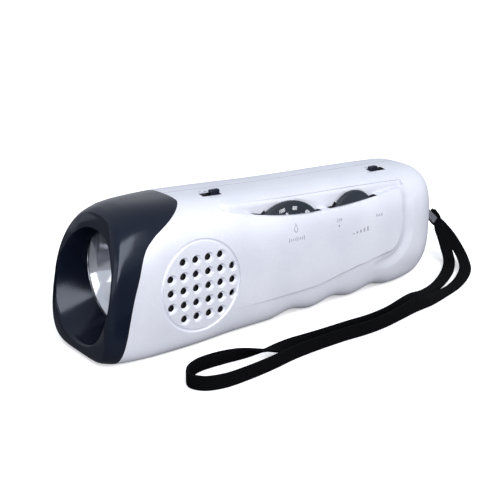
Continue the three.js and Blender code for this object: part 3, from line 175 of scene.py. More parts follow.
def set_camera():
    data = bpy.data.cameras.new("view")
    data.lens, data.sensor_width, data.clip_start = 72.0, 36.0, 0.01
    camera = new_object("view", data)
    azimuth, elevation = math.radians(-37.35), math.radians(18.0)
    back = Vector((math.sin(azimuth) * math.cos(elevation),
                   -math.cos(azimuth) * math.cos(elevation), math.sin(elevation)))
    camera.location = (-0.2415, -0.30734, 0.1509)
    camera.rotation_euler = (-back).to_track_quat("-Z", "Y").to_euler()
    bpy.context.scene.camera = camera


# Small tools

def mix(a, b, t):
    return a + (b - a) * t


def ramp(x, start, end):
    t = min(max((x - start) / (end - start), 0.0), 1.0)
    return t * t * (3 - 2 * t)


def power_sign(value, power):
    return math.copysign(abs(value) ** power, value)


def ease(p, q, m, n, t):
    """A cubic from p to q that leaves with slope m and arrives with slope n."""
    return p + m * t + (3 * (q - p) - 2 * m - n) * t * t + (2 * (p - q) + m + n) * t ** 3


def level_curve(places, values, i, t):
    """Part of the way from row i to the next, on a curve that never swings past its rows."""
    def slope(j):
        if j in (0, len(values) - 1):
            return 0.0
        before = (values[j] - values[j - 1]) / (places[j] - places[j - 1])
        after = (values[j + 1] - values[j]) / (places[j + 1] - places[j])
        return 2 * before * after / (before + after) if before * after > 0 else 0.0

    span = places[i + 1] - places[i]
    return ease(values[i], values[i + 1], slope(i) * span, slope(i + 1) * span, t)


def quarter(steps):
    """Cosine and sine at even steps of a quarter turn, both ends included."""
    angles = [math.pi / 2 * i / steps for i in range(steps + 1)]
    return [(math.cos(angle), math.sin(angle)) for angle in angles]


def around(count, shift=0.0):
    """Cosine and sine at even steps of a full turn."""
    angles = [math.tau * (i + shift) / count for i in range(count)]
    return [(math.cos(angle), math.sin(angle)) for angle in angles]


def winding(turns, steps):
    """Share of the way, cosine and sine along the turns of a coil, both ends included."""
    angles = [math.tau * turns * i / steps for i in range(steps + 1)]
    return [(i / steps, math.cos(angle), math.sin(angle)) for i, angle in enumerate(angles)]


def piece_from(name, bm):
    """Puts a finished bmesh into an object in the scene, still in drawing millimetres."""
    bmesh.ops.recalc_face_normals(bm, faces=bm.faces[:])
    mesh = bpy.data.meshes.new(name)
    bm.to_mesh(mesh)
    bm.free()
    return new_object(name, mesh)


def ring_edges(ring):
    """The edges between neighbours of a ring, always in the same order."""
    members = set(ring)
    return list(dict.fromkeys(edge for vert in ring for edge in vert.link_edges
                              if edge.other_vert(vert) in members))


def next_ring(bm, ring, points):
    """Extrudes a ring of corners and sets the new ring on the given points."""
    made = bmesh.ops.extrude_edge_only(bm, edges=ring_edges(ring))["geom"]
    fresh = {item for item in made if isinstance(item, bmesh.types.BMVert)}
    new_ring = []
    for vert, point in zip(ring, points):
        twin = next(e.other_vert(vert) for e in vert.link_edges if e.other_vert(vert) in fresh)
        twin.co = point
        new_ring.append(twin)
    return new_ring


def loft(name, rings):
    """A skin pulled through rings of equal count, closed flat at both ends."""
    bm = bmesh.new()
    ring = bmesh.ops.create_circle(bm, segments=len(rings[0]), radius=1.0)["verts"]
    for vert, point in zip(ring, rings[0]):
        vert.co = point
    first = ring
    for points in rings[1:]:
        ring = next_ring(bm, ring, points)
    for end in (first, ring):
        bmesh.ops.edgeloop_fill(bm, edges=ring_edges(end))
    return piece_from(name, bm)


def block(name, x0=-FAR, x1=LENGTH + FAR, y0=-WIDTH, y1=WIDTH, z0=-FAR, z1=HEIGHT + FAR):
    """A box. A side that isn't given stands clear of the casing."""
    bm = bmesh.new()
    size = Matrix.Diagonal((x1 - x0, y1 - y0, z1 - z0, 1.0))
    place = Matrix.Translation(((x0 + x1) / 2, (y0 + y1) / 2, (z0 + z1) / 2))
    bmesh.ops.create_cube(bm, size=1.0, matrix=place @ size)
    return piece_from(name, bm)


def prism(name, outline, y0, y1):
    """A plate along y of an outline in x and z."""
    rings = [[Vector((x, y, z)) for x, z in outline] for y in (y0, y1)]
    return loft(name, rings)


AXES = {"x": Matrix.Rotation(math.radians(90), 4, "Y"),
        "y": Matrix.Rotation(math.radians(-90), 4, "X"),
        "z": Matrix.Identity(4)}


def turned(name, profile, axis, centre, sides):
    """A turned piece from points (place along the axis, radius), about a line along the axis."""
    bm = bmesh.new()
    verts = [bm.verts.new((radius, 0.0, place)) for place, radius in profile]
    edges = [bm.edges.new(pair) for pair in zip(verts, verts[1:])]
    bmesh.ops.spin(bm, geom=verts + edges, cent=(0, 0, 0), axis=(0, 0, 1), dvec=(0, 0, 0),
                   angle=math.tau, steps=sides, use_merge=True)
    bmesh.ops.remove_doubles(bm, verts=bm.verts[:], dist=1e-4)
    bmesh.ops.transform(bm, matrix=Matrix.Translation(centre) @ AXES[axis], verts=bm.verts[:])
    return piece_from(name, bm)


def rod(name, axis, radius, start, end, centre, sides):
    return turned(name, [(start, 0.0), (start, radius), (end, radius), (end, 0.0)], axis, centre,
                  sides)


def merge(name, pieces):
    """Separate closed tools as one object, so that one cut takes them all."""
    bm = bmesh.new()
    for piece in pieces:
        bm.from_mesh(piece.data)
        discard(piece)
    return piece_from(name, bm)


def discard(piece):
    mesh = piece.data
    bpy.data.objects.remove(piece)
    if mesh.users == 0:
        bpy.data.meshes.remove(mesh)


def combine(body, tool, operation, keep=False):
    """Cuts, joins or trims a body with a tool, and throws the tool away unless it is kept."""
    modifier = body.modifiers.new("combine", "BOOLEAN")
    modifier.operation, modifier.solver, modifier.object = operation, "MANIFOLD", tool
    bpy.context.view_layer.update()
    evaluated = body.evaluated_get(bpy.context.evaluated_depsgraph_get())
    mesh = bpy.data.meshes.new_from_object(evaluated)
    body.modifiers.clear()
    old = body.data
    body.data = mesh
    bpy.data.meshes.remove(old)
    if not keep:
        discard(tool)
    return body


def cut(body, *tools, keep=False):
    for tool in tools:
        combine(body, tool, "DIFFERENCE", keep)
    return body


def join(body, tool):
    return combine(body, tool, "UNION")


def trim(body, tool, keep=False):
    return combine(body, tool, "INTERSECT", keep)


def copy_of(piece, name):
    return new_object(name, piece.data.copy())


def finish_piece(piece, finish, node=None, body="casing", sharp=32.0, painted_shade_and_second_finish=None):
    """Moves a piece to its place, smooths it, gives it its finish and hangs it on its body.

    node is the solid that it stands for. The last argument, when given, is a second finish with the
    test that picks its faces, from a face in drawing millimetres: the steel ends of the cells, and
    the near-black painted shade deep inside the shells.
    """
    mesh = piece.data
    picked = [polygon.index for polygon in mesh.polygons if painted_shade_and_second_finish[1](polygon)] if painted_shade_and_second_finish else []
    mesh.transform(TO_MODEL)
    mesh.materials.clear()
    for name in (finish, painted_shade_and_second_finish[0]) if painted_shade_and_second_finish else (finish,):
        mesh.materials.append(finishes[name])
    for polygon in mesh.polygons:
        polygon.use_smooth = True
        polygon.material_index = 0
    mesh.set_sharp_from_angle(angle=math.radians(sharp))
    for index in picked:
        mesh.polygons[index].material_index = 1
    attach(piece, body)
    if node:
        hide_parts(node)
    return piece


def tree_of(piece):
    mesh = piece.data
    return BVHTree.FromPolygons([vert.co.copy() for vert in mesh.vertices],
                                [list(polygon.vertices) for polygon in mesh.polygons])


def soften(piece, width, angle=40.0, segments=2):
    """Rounds the sharp edges of a piece."""
    bm = bmesh.new()
    bm.from_mesh(piece.data)
    bmesh.ops.remove_doubles(bm, verts=bm.verts[:], dist=1e-5)
    edges = [edge for edge in bm.edges
             if len(edge.link_faces) == 2 and edge.calc_face_angle(0.0) > math.radians(angle)]
    bmesh.ops.bevel(bm, geom=edges, offset=width, offset_type="OFFSET", affect="EDGES",
                    segments=segments, profile=0.5, material=-1, clamp_overlap=True)
    bmesh.ops.recalc_face_normals(bm, faces=bm.faces[:])
    bm.to_mesh(piece.data)
    bm.free()


def tube(name, points, radius, sides):
    """A round wire through the given points."""
    rings, normal = [], None
    for i, point in enumerate(points):
        ahead = (points[min(i + 1, len(points) - 1)] - points[max(i - 1, 0)]).normalized()
        normal = ahead.orthogonal() if normal is None else normal - ahead * normal.dot(ahead)
        normal.normalize()
        across = ahead.cross(normal)
        rings.append([point + normal * radius * c + across * radius * s
                      for c, s in around(sides)])
    return loft(name, rings)


# Casing form

COLUMNS = list(zip(*SECTIONS))


def along(column, share):
    """The value in a column of the sections at this share of the length."""
    places, i = COLUMNS[0], 0
    while i < len(places) - 2 and share > places[i + 1]:
        i += 1
    t = min(max((share - places[i]) / (places[i + 1] - places[i]), 0.0), 1.0)
    return level_curve(places, COLUMNS[column], i, t)


def outline_at(x, inset=0.0):
    """Half width, belly, middle, half height and the upper and lower squareness at this place."""
    share = x / LENGTH
    half_width = along(1, share) * WIDTH - inset
    crown, belly = along(2, share) * HEIGHT - inset, along(3, share) * HEIGHT + inset
    return (half_width, belly, (crown + belly) / 2, (crown - belly) / 2, along(4, share),
            along(5, share))


def side_at(x, z, proud=0.0):
    """How far the near skin stands from the parting plane at this place."""
    half_width, _, middle, half, upper, lower = outline_at(x)
    power = upper if z > middle else lower
    return (half_width + proud) * (1 - min(abs(z - middle) / half, 1.0) ** power) ** (1 / power)


def crown_at(x, y):
    """How high the skin stands over the table at this place."""
    half_width, _, middle, half, power, _ = outline_at(x)
    return middle + half * (1 - (abs(y) / half_width) ** power) ** (1 / power)


def groove(x):
    if x <= GROOVE_START or x >= GROOVE_START + GROOVE_PITCH * GROOVES:
        return 0.0
    return GROOVE_DEPTH * (1 - math.cos(math.tau * (x - GROOVE_START) / GROOVE_PITCH)) / 2


def rake_shift(rake, height):
    return rake * HEIGHT * (max(height, 0.0) / HEIGHT) ** RAKE_POWER


def section(x, inset, proud, count):
    half_width, belly, middle, half, upper, lower = outline_at(x, inset)
    rake = RAKE * (1 - ramp(x, 0, RAKE_REACH))
    ring = []
    for c, s in around(count, 0.5):
        power = 2 / (upper if s > 0 else lower)
        wide, tall = power_sign(c, power), power_sign(s, power)
        lift = groove(x) * abs(tall) ** GROOVE_FADE if s < 0 else 0.0
        side = half_width + proud if c < 0 else half_width
        z = middle + half * tall + lift
        ring.append(Vector((x + rake_shift(rake, z - belly), side * wide, z)))
    return ring


def form(name, inset=0.0, proud=0.0):
    """The whole outer form, or a coarser one drawn in by a wall."""
    count, nose, front, wave, tail = (48, 3, 15, 6, 6) if inset else (72, 6, 30, 12, 12)
    rings = []
    for c, s in quarter(nose)[:-1]:
        ring = section(NOSE_ROUND * (1 - c), inset + NOSE_ROUND * (1 - s), 0.0, count)
        rings.append([p + Vector((inset, 0, 0)) for p in ring])
    trunk = [mix(NOSE_ROUND, GROOVE_START, (i / front) ** 1.2) for i in range(front + 1)]
    steps = wave * GROOVES
    trunk += [GROOVE_START + GROOVE_PITCH * GROOVES * i / steps for i in range(1, steps + 1)]
    end = LENGTH - TAIL_ROUND
    trunk += [mix(trunk[-1], end, t) for t in (0.33, 0.67, 1.0)]
    for x in trunk:
        shift = inset if x < TAIL_ROUND else 0.0
        ring = section(x, inset, proud * ramp(x, PANEL_FROM, PANEL_TO), count)
        rings.append([p + Vector((shift, 0, 0)) for p in ring])
    reach = TAIL_ROUND - inset
    for c, s in quarter(tail)[1:]:
        rings.append(section(end + reach * s, inset + reach * (1 - c), proud, count))
    return loft(name, rings)


def front_region(name, shift):
    """Everything in front of the bezel's rear edge, moved back by shift."""
    edge = [(x * BEZEL_UNIT + shift, z * HEIGHT) for x, z in BEZEL_EDGE]
    posts = [edge[0], *edge, edge[-1]]
    smooth = [edge[0]]
    for i in range(len(edge) - 1):
        for t in (0.25, 0.5, 0.75, 1.0):
            smooth.append(tuple(ease(b, c, (c - a) / 2, (d - b) / 2, t)
                                for a, b, c, d in zip(*posts[i:i + 4])))
    return prism(name, [(-FAR, -FAR), (edge[0][0], -FAR), *smooth, (edge[-1][0], HEIGHT + FAR),
                        (-FAR, HEIGHT + FAR)], -WIDTH, WIDTH)


def mouth_ring(x, half_width, half_height, middle, power, rake):
    ring = []
    for c, s in around(96):
        y = half_width * power_sign(c, 2 / power)
        z = middle + half_height * power_sign(s, 2 / power)
        ring.append(Vector((x + rake_shift(rake, z - middle + half_height), y, z)))
    return ring


def mouth():
    """The recess in the bezel's face: a rounded lip, then a flare down to the round lens."""
    face = 0.05
    lip = [(-FAR, MOUTH_LIP), (0.0, MOUTH_LIP)]
    lip += [(face + MOUTH_LIP * (1 - c), MOUTH_LIP * (1 - s)) for c, s in quarter(4)]
    rings = [mouth_ring(x, MOUTH_HALF_WIDTH + grow, MOUTH_HALF_HEIGHT + grow, MOUTH_MIDDLE,
                        MOUTH_SQUARENESS, RAKE) for x, grow in lip]
    for i in range(1, 9):
        t = i / 8
        rings.append(mouth_ring(mix(MOUTH_LIP + face, LENS_FACE + FIT, t),
                                mix(MOUTH_HALF_WIDTH, LENS_VIEW, t),
                                mix(MOUTH_HALF_HEIGHT, LENS_VIEW, t),
                                mix(MOUTH_MIDDLE, LAMP_HEIGHT, t),
                                mix(MOUTH_SQUARENESS, 2.0, t), RAKE * (1 - t)))
    return loft("mouth", rings)


def make_bezel():
    body = trim(form("bezel"), front_region("front", 0.0))
    cut(body, block("floor", z1=0.0))
    join(body, trim(form("plug", WALL + FIT), block("reach", x1=PLUG_END)))
    cut(body, trim(form("lining", WALL), block("reach", x0=PLUG_END)), mouth(),
        rod("seat", "x", LENS_RADIUS + FIT, LENS_FACE, PLUG_END + FAR, LAMP_CENTRE, 64))
    finish_piece(body, "black", "front_bezel")


# Ledge, panel and grille of the near side

def ledge_floor(x):
    if x < LEDGE_LOW_ALONG:
        t = (LEDGE_LOW_ALONG - x) / (LEDGE_LOW_ALONG - LEDGE_START)
        return mix(LEDGE_LOW, LEDGE_TOP, t ** LEDGE_FRONT_BEND)
    t = (x - LEDGE_LOW_ALONG) / (LEDGE_END - LEDGE_LOW_ALONG)
    return mix(LEDGE_LOW, LEDGE_REAR, t ** LEDGE_REAR_BEND)


def ledge_prism(name, drop, grow, depth):
    """The room over the ledge, dropped and grown where its wall has to stay."""
    floor = []
    for i in range(49):
        x = mix(LEDGE_START - grow, LEDGE_END + grow, i / 48)
        floor.append((x, ledge_floor(min(max(x, LEDGE_START), LEDGE_END)) - drop))
    floor += [(LEDGE_END + grow, HEIGHT + FAR), (LEDGE_START - grow, HEIGHT + FAR)]
    return prism(name, floor, -WIDTH, depth)


def panel_outline(grow):
    """The raised panel's outline, grown at its rear end by this much."""
    rear, radius = PANEL_REAR + grow, PANEL_CORNER + grow * 0.5
    low = PANEL_BELLY_REAR - grow * 0.3
    corner = [(rear - radius * (1 - c), low + radius * (1 - s)) for c, s in reversed(quarter(16))]
    return [(PANEL_FROM, PANEL_BELLY),
            (mix(PANEL_FROM, PANEL_REAR, 0.5), mix(PANEL_BELLY, PANEL_BELLY_REAR, 0.2)),
            *corner, (rear, HEIGHT), (PANEL_FROM, HEIGHT)]


def panel_prism():
    """The panel's block, whose rear end slopes down to the skin behind it."""
    return loft("panel", [[Vector((x, y, z)) for x, z in panel_outline(grow)]
                          for y, grow in PANEL_STEPS])


def grille_holes():
    """Round holes that open out to the skin in a soft dimple."""
    tools = []
    for row, count in enumerate(HOLE_ROWS):
        for i in range(count):
            x = HOLES_AT[0] + (i - (count - 1) / 2) * HOLE_PITCH
            z = HOLES_AT[1] + (2 - row) * HOLE_PITCH
            skin = -side_at(x, z)
            profile = [(skin + depth, radius) for depth, radius in HOLE_PROFILE]
            profile = [(profile[0][0], 0.0), *profile, (profile[-1][0], 0.0)]
            tools.append(turned("hole", profile, "y", (x, 0, z), 24))
    return merge("holes", tools)


def grille_groove():
    """A soft ring groove that follows the skin round the holes."""
    bm = bmesh.new()
    half = RIM_WIDTH / 2
    place = Matrix.Translation((RIM_RADIUS - half, 0, 0))
    bmesh.ops.create_circle(bm, segments=16, radius=1.0,
                            matrix=place @ Matrix.Diagonal((half, RIM_DEPTH, 1, 1)))
    bmesh.ops.spin(bm, geom=bm.verts[:] + bm.edges[:], cent=(0, 0, 0), axis=(0, 1, 0),
                   dvec=(0, 0, 0), angle=math.tau, steps=120, use_merge=True)
    bmesh.ops.remove_doubles(bm, verts=bm.verts[:], dist=1e-4)
    for vert in bm.verts:
        vert.co.x += GRILLE[0]
        vert.co.z += GRILLE[1]
        vert.co.y -= side_at(vert.co.x, vert.co.z)
    return piece_from("groove", bm)


def ledge_edges():
    """Tools that take the corners off the upper and lower edges of the ledge."""
    start = LEDGE_START
    while ledge_floor(start) > crown_at(start, LEDGE_DEPTH_AT) - 0.6:
        start += 0.25
    high, low = [], []
    inner = LEDGE_DEPTH_AT - LEDGE_CORNER
    for i in range(61):
        x = mix(start, LEDGE_END - 0.4, i / 60)
        top = crown_at(x, LEDGE_DEPTH_AT)
        high.append([Vector((x, -LEDGE_DEPTH_AT, top - LEDGE_CORNER)),
                     Vector((x, -inner, crown_at(x, inner))),
                     Vector((x, -LEDGE_DEPTH_AT - SPARE, top + SPARE + 1.0))])
        proud = PANEL_PROUD * ramp(x, PANEL_FROM, PANEL_TO) if x < PANEL_REAR - 0.5 else 0.0
        z = ledge_floor(x)
        edge, below = side_at(x, z, proud), side_at(x, z - LEDGE_CORNER, proud)
        low.append([Vector((x, -below, z - LEDGE_CORNER)), Vector((x, -edge + LEDGE_CORNER, z)),
                    Vector((x, -edge - SPARE, z + SPARE))])
    return loft("high_edge", high), loft("low_edge", low)


def panel_valley():
    """A channel down the rear end of the panel and round its lower corner.

    It drops steeply beside the panel and comes back slowly to the casing's surface.
    """
    rear, low, reach = VALLEY_REAR, VALLEY_LOW, VALLEY_REACH
    path = [(rear, mix(LEDGE_REAR + 1.0, low + reach, i / 14), min(i / 5, 1.0)) for i in range(14)]
    path += [(rear - reach * (1 - c), low + reach * (1 - s), mix(1.0, 0.6, i / 16))
             for i, (c, s) in enumerate(quarter(16))]
    path += [(rear - reach - 1.5 * i, low - 0.25 * i, 0.6 - 0.08 * i) for i in range(1, 8)]
    rings = []
    for i, (x, z, depth) in enumerate(path):
        before, after = path[max(i - 1, 0)], path[min(i + 1, len(path) - 1)]
        ahead = Vector((after[0] - before[0], 0, after[1] - before[1])).normalized()
        out = Vector((-ahead.z, 0, ahead.x))
        if out.dot(Vector((1, 0, -1))) < 0:
            out = -out
        ring = []
        for step, share in VALLEY_PROFILE:
            spot = Vector((x, 0, z)) + out * step
            spot.y = -side_at(spot.x, spot.z) + depth * share - 0.15 * (1.0 - depth)
            ring.append(spot)
        ring += [ring[-1] + Vector((0, -3, 0)), ring[0] + Vector((0, -3, 0))]
        rings.append(ring)
    return loft("valley", rings)


# Shells and battery cover

def make_cavity():
    cavity = cut(form("cavity", WALL), ledge_prism("keep", WALL, WALL, -LEDGE_DEPTH_AT + WALL))
    return cut(cavity, block("tail", LENGTH - POCKET_DEPTH - WALL, LENGTH,
                             -POCKET_HALF_WIDTH - WALL, POCKET_HALF_WIDTH + WALL,
                             POCKET_LOW - WALL, POCKET_HIGH + WALL))


def pocket():
    """The pocket in the tail with the hole of the strap's pin."""
    hollow = block("pocket", LENGTH - POCKET_DEPTH, LENGTH + FAR, -POCKET_HALF_WIDTH,
                   POCKET_HALF_WIDTH, POCKET_LOW, POCKET_HIGH)
    return join(hollow, rod("hole", "z", PIN_RADIUS + FIT / 2, POCKET_LOW - PIN_SEAT,
                            POCKET_HIGH + PIN_SEAT, (PIN_ALONG, 0, 0), 20))


def switch_slot(x):
    half = (KNOB_LENGTH + KNOB_TRAVEL) / 2 + KNOB_CLEAR
    width = KNOB_WIDTH / 2 + KNOB_CLEAR
    return block("switch_slot", x - half, x + half, -SWITCH_ACROSS - width, -SWITCH_ACROSS + width,
                 crown_at(x, SWITCH_ACROSS) - WALL - SWITCH_ROOF - FIT, HEIGHT + FAR)


def painted_shade_faces(outer, near_grille):
    """Picks the faces that lie deep under the painted outside of a shell, to take a near-black
    painted shade in its holes, slots, wells and pockets.
    """
    tree = tree_of(outer)

    def painted_shade_and_second_finish(polygon):
        centre = polygon.center
        deep = tree.find_nearest(centre)[3]
        spread = math.hypot(centre.x - HOLES_AT[0], centre.z - HOLES_AT[1])
        return deep > (DIMPLE_DEPTH if near_grille and spread < RIM_RADIUS else SHADE_DEPTH)

    return painted_shade_and_second_finish


def make_near_shell(skin, cavity, rear):
    """The near shell; gives back its surface, for the marks."""
    body = join(copy_of(skin, "near_shell"), trim(form("proud", 0.0, PANEL_PROUD), panel_prism()))
    cut(body, ledge_prism("ledge", 0.0, 0.0, -LEDGE_DEPTH_AT), *ledge_edges(), panel_valley(),
        grille_groove())
    outer = copy_of(body, "outer")
    trim(trim(body, rear, keep=True), block("near", y1=0.0))
    cut(body, cavity, keep=True)
    cut(body, grille_holes())
    face = -WHEEL_FACE - FIT
    for _, _, _, (x, z), radius, _, (start, end) in WHEELS:
        cut(body, rod("well", "y", radius + WELL_CLEAR, face,
                      WHEEL_THICKNESS + WELL_CLEAR - WHEEL_FACE, (x, 0, z), 96),
            block("slot", start, end, face, -LEDGE_DEPTH_AT - FIT / 2, z, HEIGHT))
    cut(body, *(switch_slot(x) for *_, x, _ in SWITCHES), pocket())
    surface = tree_of(body)
    # Faces deep in the holes, wells, slots and pocket take a near-black finish: painted shade.
    finish_piece(body, "paint", "left_shell", painted_shade_and_second_finish=("painted_shade_and_second_finish", painted_shade_faces(outer, True)))
    discard(outer)
    return surface


def door_block(name, margin, low):
    x0, x1, z0, z1 = DOOR
    return block(name, x0 - margin, x1 + margin, low, WIDTH, z0 - margin, z1 + margin)


def bay_block(name, margin):
    x0, x1, y0, z0, z1 = BAY
    return block(name, x0 - margin, x1 + margin, y0 - margin, WIDTH, z0 - margin, z1 + margin)


def make_far_shell(skin, cavity, rear):
    body = trim(copy_of(skin, "far_shell"), rear, keep=True)
    trim(body, block("far", y0=SEAM / 2))
    cut(body, cavity, keep=True)
    inside = trim(trim(copy_of(skin, "inside"), rear, keep=True), block("far", y0=SEAM / 2))
    walls = cut(bay_block("bay_walls", BAY_WALL), bay_block("bay", 0.0))
    for x, z in SCREWS:
        join(walls, rod("boss", "y", BOSS_RADIUS, 0.0, WIDTH, (x, 0, z), 32))
    join(body, trim(walls, inside))
    lip = cut(form("lip", WALL - FIT), form("lip_hollow", WALL * 2))
    trim(lip, cut(door_block("lip_reach", -DOOR_REST, BAY[2]), bay_block("bay", 0.0)))
    join(body, lip)
    cut(body, cut(door_block("opening", DOOR_MARGIN, BAY[2]),
                  form("door_lining", DOOR_THICKNESS + FIT)), pocket())
    for x, z in SCREWS:
        cut(body, rod("bore", "y", BORE_RADIUS, -FAR, WIDTH, (x, 0, z), 24),
            rod("head_bore", "y", HEAD_BORE_RADIUS, HEAD_SEAT, WIDTH, (x, 0, z), 40))
    # Faces deep in the bores, opening and pocket and on the inside take a near-black finish:
    # painted shade.
    finish_piece(body, "paint", "right_shell", painted_shade_and_second_finish=("painted_shade_and_second_finish", painted_shade_faces(skin, False)))


def make_door(skin):
    body = cut(copy_of(skin, "battery_cover"), form("lining", DOOR_THICKNESS))
    trim(body, door_block("reach", 0.0, BAY[2]))
    middle, grips = (DOOR[2] + DOOR[3]) / 2, []
    for i in range(2, 7):
        x = DOOR[1] - GRIP_PITCH * i
        grips.append(block("grip", x - GRIP_WIDTH / 2, x + GRIP_WIDTH / 2,
                           WIDTH / 2 - GRIP_DEPTH, WIDTH, middle - GRIP_HALF, middle + GRIP_HALF))
    cut(body, merge("grips", grips))
    # The cover's edges and inside take a near-black finish: painted shade.
    finish_piece(body, "paint", "battery_door", "door", painted_shade_and_second_finish=("painted_shade_and_second_finish", painted_shade_faces(skin, False)))


def make_casing():
    """Both shells, the battery cover and the bezel; gives back the near shell's surface."""
    skin = cut(form("skin"), block("floor", z1=0.0))
    cavity = make_cavity()
    rear = cut(block("rear"), front_region("front", SEAM))
    surface = make_near_shell(skin, cavity, rear)
    make_far_shell(skin, cavity, rear)
    make_door(skin)
    for tool in (skin, cavity, rear):
        discard(tool)
    make_bezel()
    return surface


# Lamp

def make_lens():
    face, edge = LENS_FACE + FIT, LENS_RADIUS - LENS_EDGE
    profile = [(face - LENS_BULGE * (1 - (i / 12) ** 2), edge * i / 12) for i in range(13)]
    profile += [(face + LENS_EDGE, LENS_RADIUS), (LENS_BACK - LENS_EDGE, LENS_RADIUS),
                (LENS_BACK, edge), (LENS_BACK, 0.0)]
    finish_piece(turned("front_lens", profile, "x", LAMP_CENTRE, 96), "lens", "lens")


def make_reflector():
    inner, outer = [], []
    for i in range(25):
        radius = mix(LENS_VIEW - 1.0, BOWL_NECK, i / 24)
        depth = (LENS_VIEW ** 2 - radius ** 2) / (LENS_VIEW ** 2 - BOWL_NECK ** 2)
        inner.append((BOWL_FROM + BOWL_DEPTH * depth, radius))
        outer.append((BOWL_FROM + BOWL_DEPTH * depth + FIT, radius + 1.0))
    flange = BOWL_FROM + BOWL_FLANGE
    profile = [*inner, (BOWL_BACK, BOWL_NECK), (BOWL_BACK, BOWL_NECK + 1.0), *reversed(outer[4:]),
               (flange, LENS_VIEW), (flange, LENS_RADIUS), (BOWL_FROM, LENS_RADIUS), inner[0]]
    finish_piece(turned("reflector_bowl", profile, "x", LAMP_CENTRE, 96), "mirror",
                 "reflector")


def make_bulb():
    outside, inside = [
        [(BULB_TIP + BULB_RADIUS - radius * c, radius * s) for c, s in quarter(12)]
        + [(BULB_BACK - 3.4, radius), (BULB_BACK - 1.6, radius - 0.4)]
        for radius in (BULB_RADIUS, BULB_RADIUS - BULB_WALL)]
    envelope = turned("bulb_glass", outside + inside[::-1], "x", LAMP_CENTRE, 48)
    finish_piece(envelope, "bulb", "bulb")
    profile = [(BULB_BACK + place, radius) for place, radius in CAP_PROFILE]
    finish_piece(turned("bulb_cap", profile, "x", LAMP_CENTRE, 48), "brass", "bulb")
    coil = [Vector((FILAMENT_AT + FILAMENT_RADIUS * c, mix(-FILAMENT_HALF, FILAMENT_HALF, t),
                    LAMP_HEIGHT + FILAMENT_RADIUS * s)) for t, c, s in winding(FILAMENT_TURNS, 96)]
    wires = [tube("coil", coil, FILAMENT_WIRE, 6)]
    for side in (-1, 1):
        leg = ((BULB_BACK - 2.5, 0.8), (FILAMENT_AT + 2.0, 0.9), (FILAMENT_AT + 0.2, FILAMENT_HALF))
        wires.append(tube("leg", [Vector((x, side * y, LAMP_HEIGHT)) for x, y in leg],
                          LEG_WIRE, 8))
    finish_piece(merge("filament", wires), "wire", "bulb")


# Controls

def make_wheels():
    """Wheels along y with fine ridges on the rim, soft edges and a sunk screw seat."""
    steps = [*WHEEL_EDGE, *((WHEEL_THICKNESS - back, drawn)
                            for back, drawn in reversed(WHEEL_EDGE))]
    for name, body, node, (x, z), radius, ridges, _ in WHEELS:
        rings = []
        for back, drawn in steps:
            ring = []
            for i, (c, s) in enumerate(around(ridges * 4)):
                reach = radius - drawn - KNURL_DEPTH * (0.0, 0.5, 1.0, 0.5)[i % 4]
                ring.append(Vector((x + reach * c, back - WHEEL_FACE, z + reach * s)))
            rings.append(ring)
        seat = rod("seat", "y", 2.2, -WHEEL_FACE - 1.0, -WHEEL_FACE + 1.2, (x, 0, z), 40)
        finish_piece(cut(loft(name, rings), seat), "dark", node, body, sharp=50)


def make_knobs():
    """Slide knobs with rounded, ribbed tops that stand a little out of their slots."""
    for name, body, node, x, side in SWITCHES:
        top = crown_at(x, SWITCH_ACROSS)
        middle, half, wide = x + side * KNOB_TRAVEL / 2, KNOB_LENGTH / 2, KNOB_WIDTH / 2
        knob = block(name, middle - half, middle + half, -SWITCH_ACROSS - wide,
                     -SWITCH_ACROSS + wide, top - WALL - SWITCH_ROOF - KNOB_FOOT, top + KNOB_PROUD)
        soften(knob, KNOB_ROUND, segments=4)
        ribs = [rod("rib", "y", RIB_RADIUS, -SWITCH_ACROSS - 2, -SWITCH_ACROSS + 2,
                    (middle + step * RIB_PITCH, 0, top + KNOB_PROUD + RIB_UP), 16)
                for step in (-1, 0, 1)]
        finish_piece(cut(knob, merge("ribs", ribs)), "black", node, body, sharp=40)


# Fixings, cells and felt

def make_screws():
    neck, arm, slot, sunk = HEAD_SEAT + FIT, 1.5, 0.35, 0.8
    profile = [(SCREW_END, 0.0), (SCREW_END + 1.3, SCREW_RADIUS), (neck, SCREW_RADIUS),
               (neck, HEAD_RADIUS), (HEAD_FACE - 0.5, HEAD_RADIUS),
               (HEAD_FACE - 0.15, HEAD_RADIUS - 0.3), (HEAD_FACE, 1.6), (HEAD_FACE, 0.0)]
    for number, (x, z) in enumerate(SCREWS, 1):
        screw = turned(f"screw_{number}", profile, "y", (x, 0, z), 40)
        bars = [block("bar", x - wide, x + wide, HEAD_FACE - sunk, WIDTH, z - tall, z + tall)
                for wide, tall in ((arm, slot), (slot, arm))]
        finish_piece(cut(screw, join(*bars)), "steel", f"case_screw_{number}")


def make_cells():
    half = (CELL_REAR - CELL_FRONT) / 2
    ends = [(place - half, radius) for place, radius in CELL_FLAT]
    ends += [(place + half, radius) for place, radius in CELL_BUTTON]
    for name, z, side, start, end in CELLS:
        profile = ends if side > 0 else [(-place, radius) for place, radius in reversed(ends)]
        cell = turned(f"{name}_cell", profile, "x", (CELL_MIDDLE, CELL_ACROSS, z), 64)

        def is_end(polygon, height=z):
            away = math.hypot(polygon.center.y - CELL_ACROSS, polygon.center.z - height)
            return away < CELL_FACE and abs(polygon.center.x - CELL_MIDDLE) > half - 1.5

        finish_piece(cell, "sleeve", f"{name}_battery", painted_shade_and_second_finish=("steel", is_end))
        coil = [Vector((mix(start, end, t), CELL_ACROSS + SPRING_RADIUS * c,
                        z + SPRING_RADIUS * s)) for t, c, s in winding(SPRING_TURNS, 90)]
        finish_piece(tube(f"{name}_coil_spring", coil, SPRING_WIRE, 12), "steel",
                     f"{name}_spring")


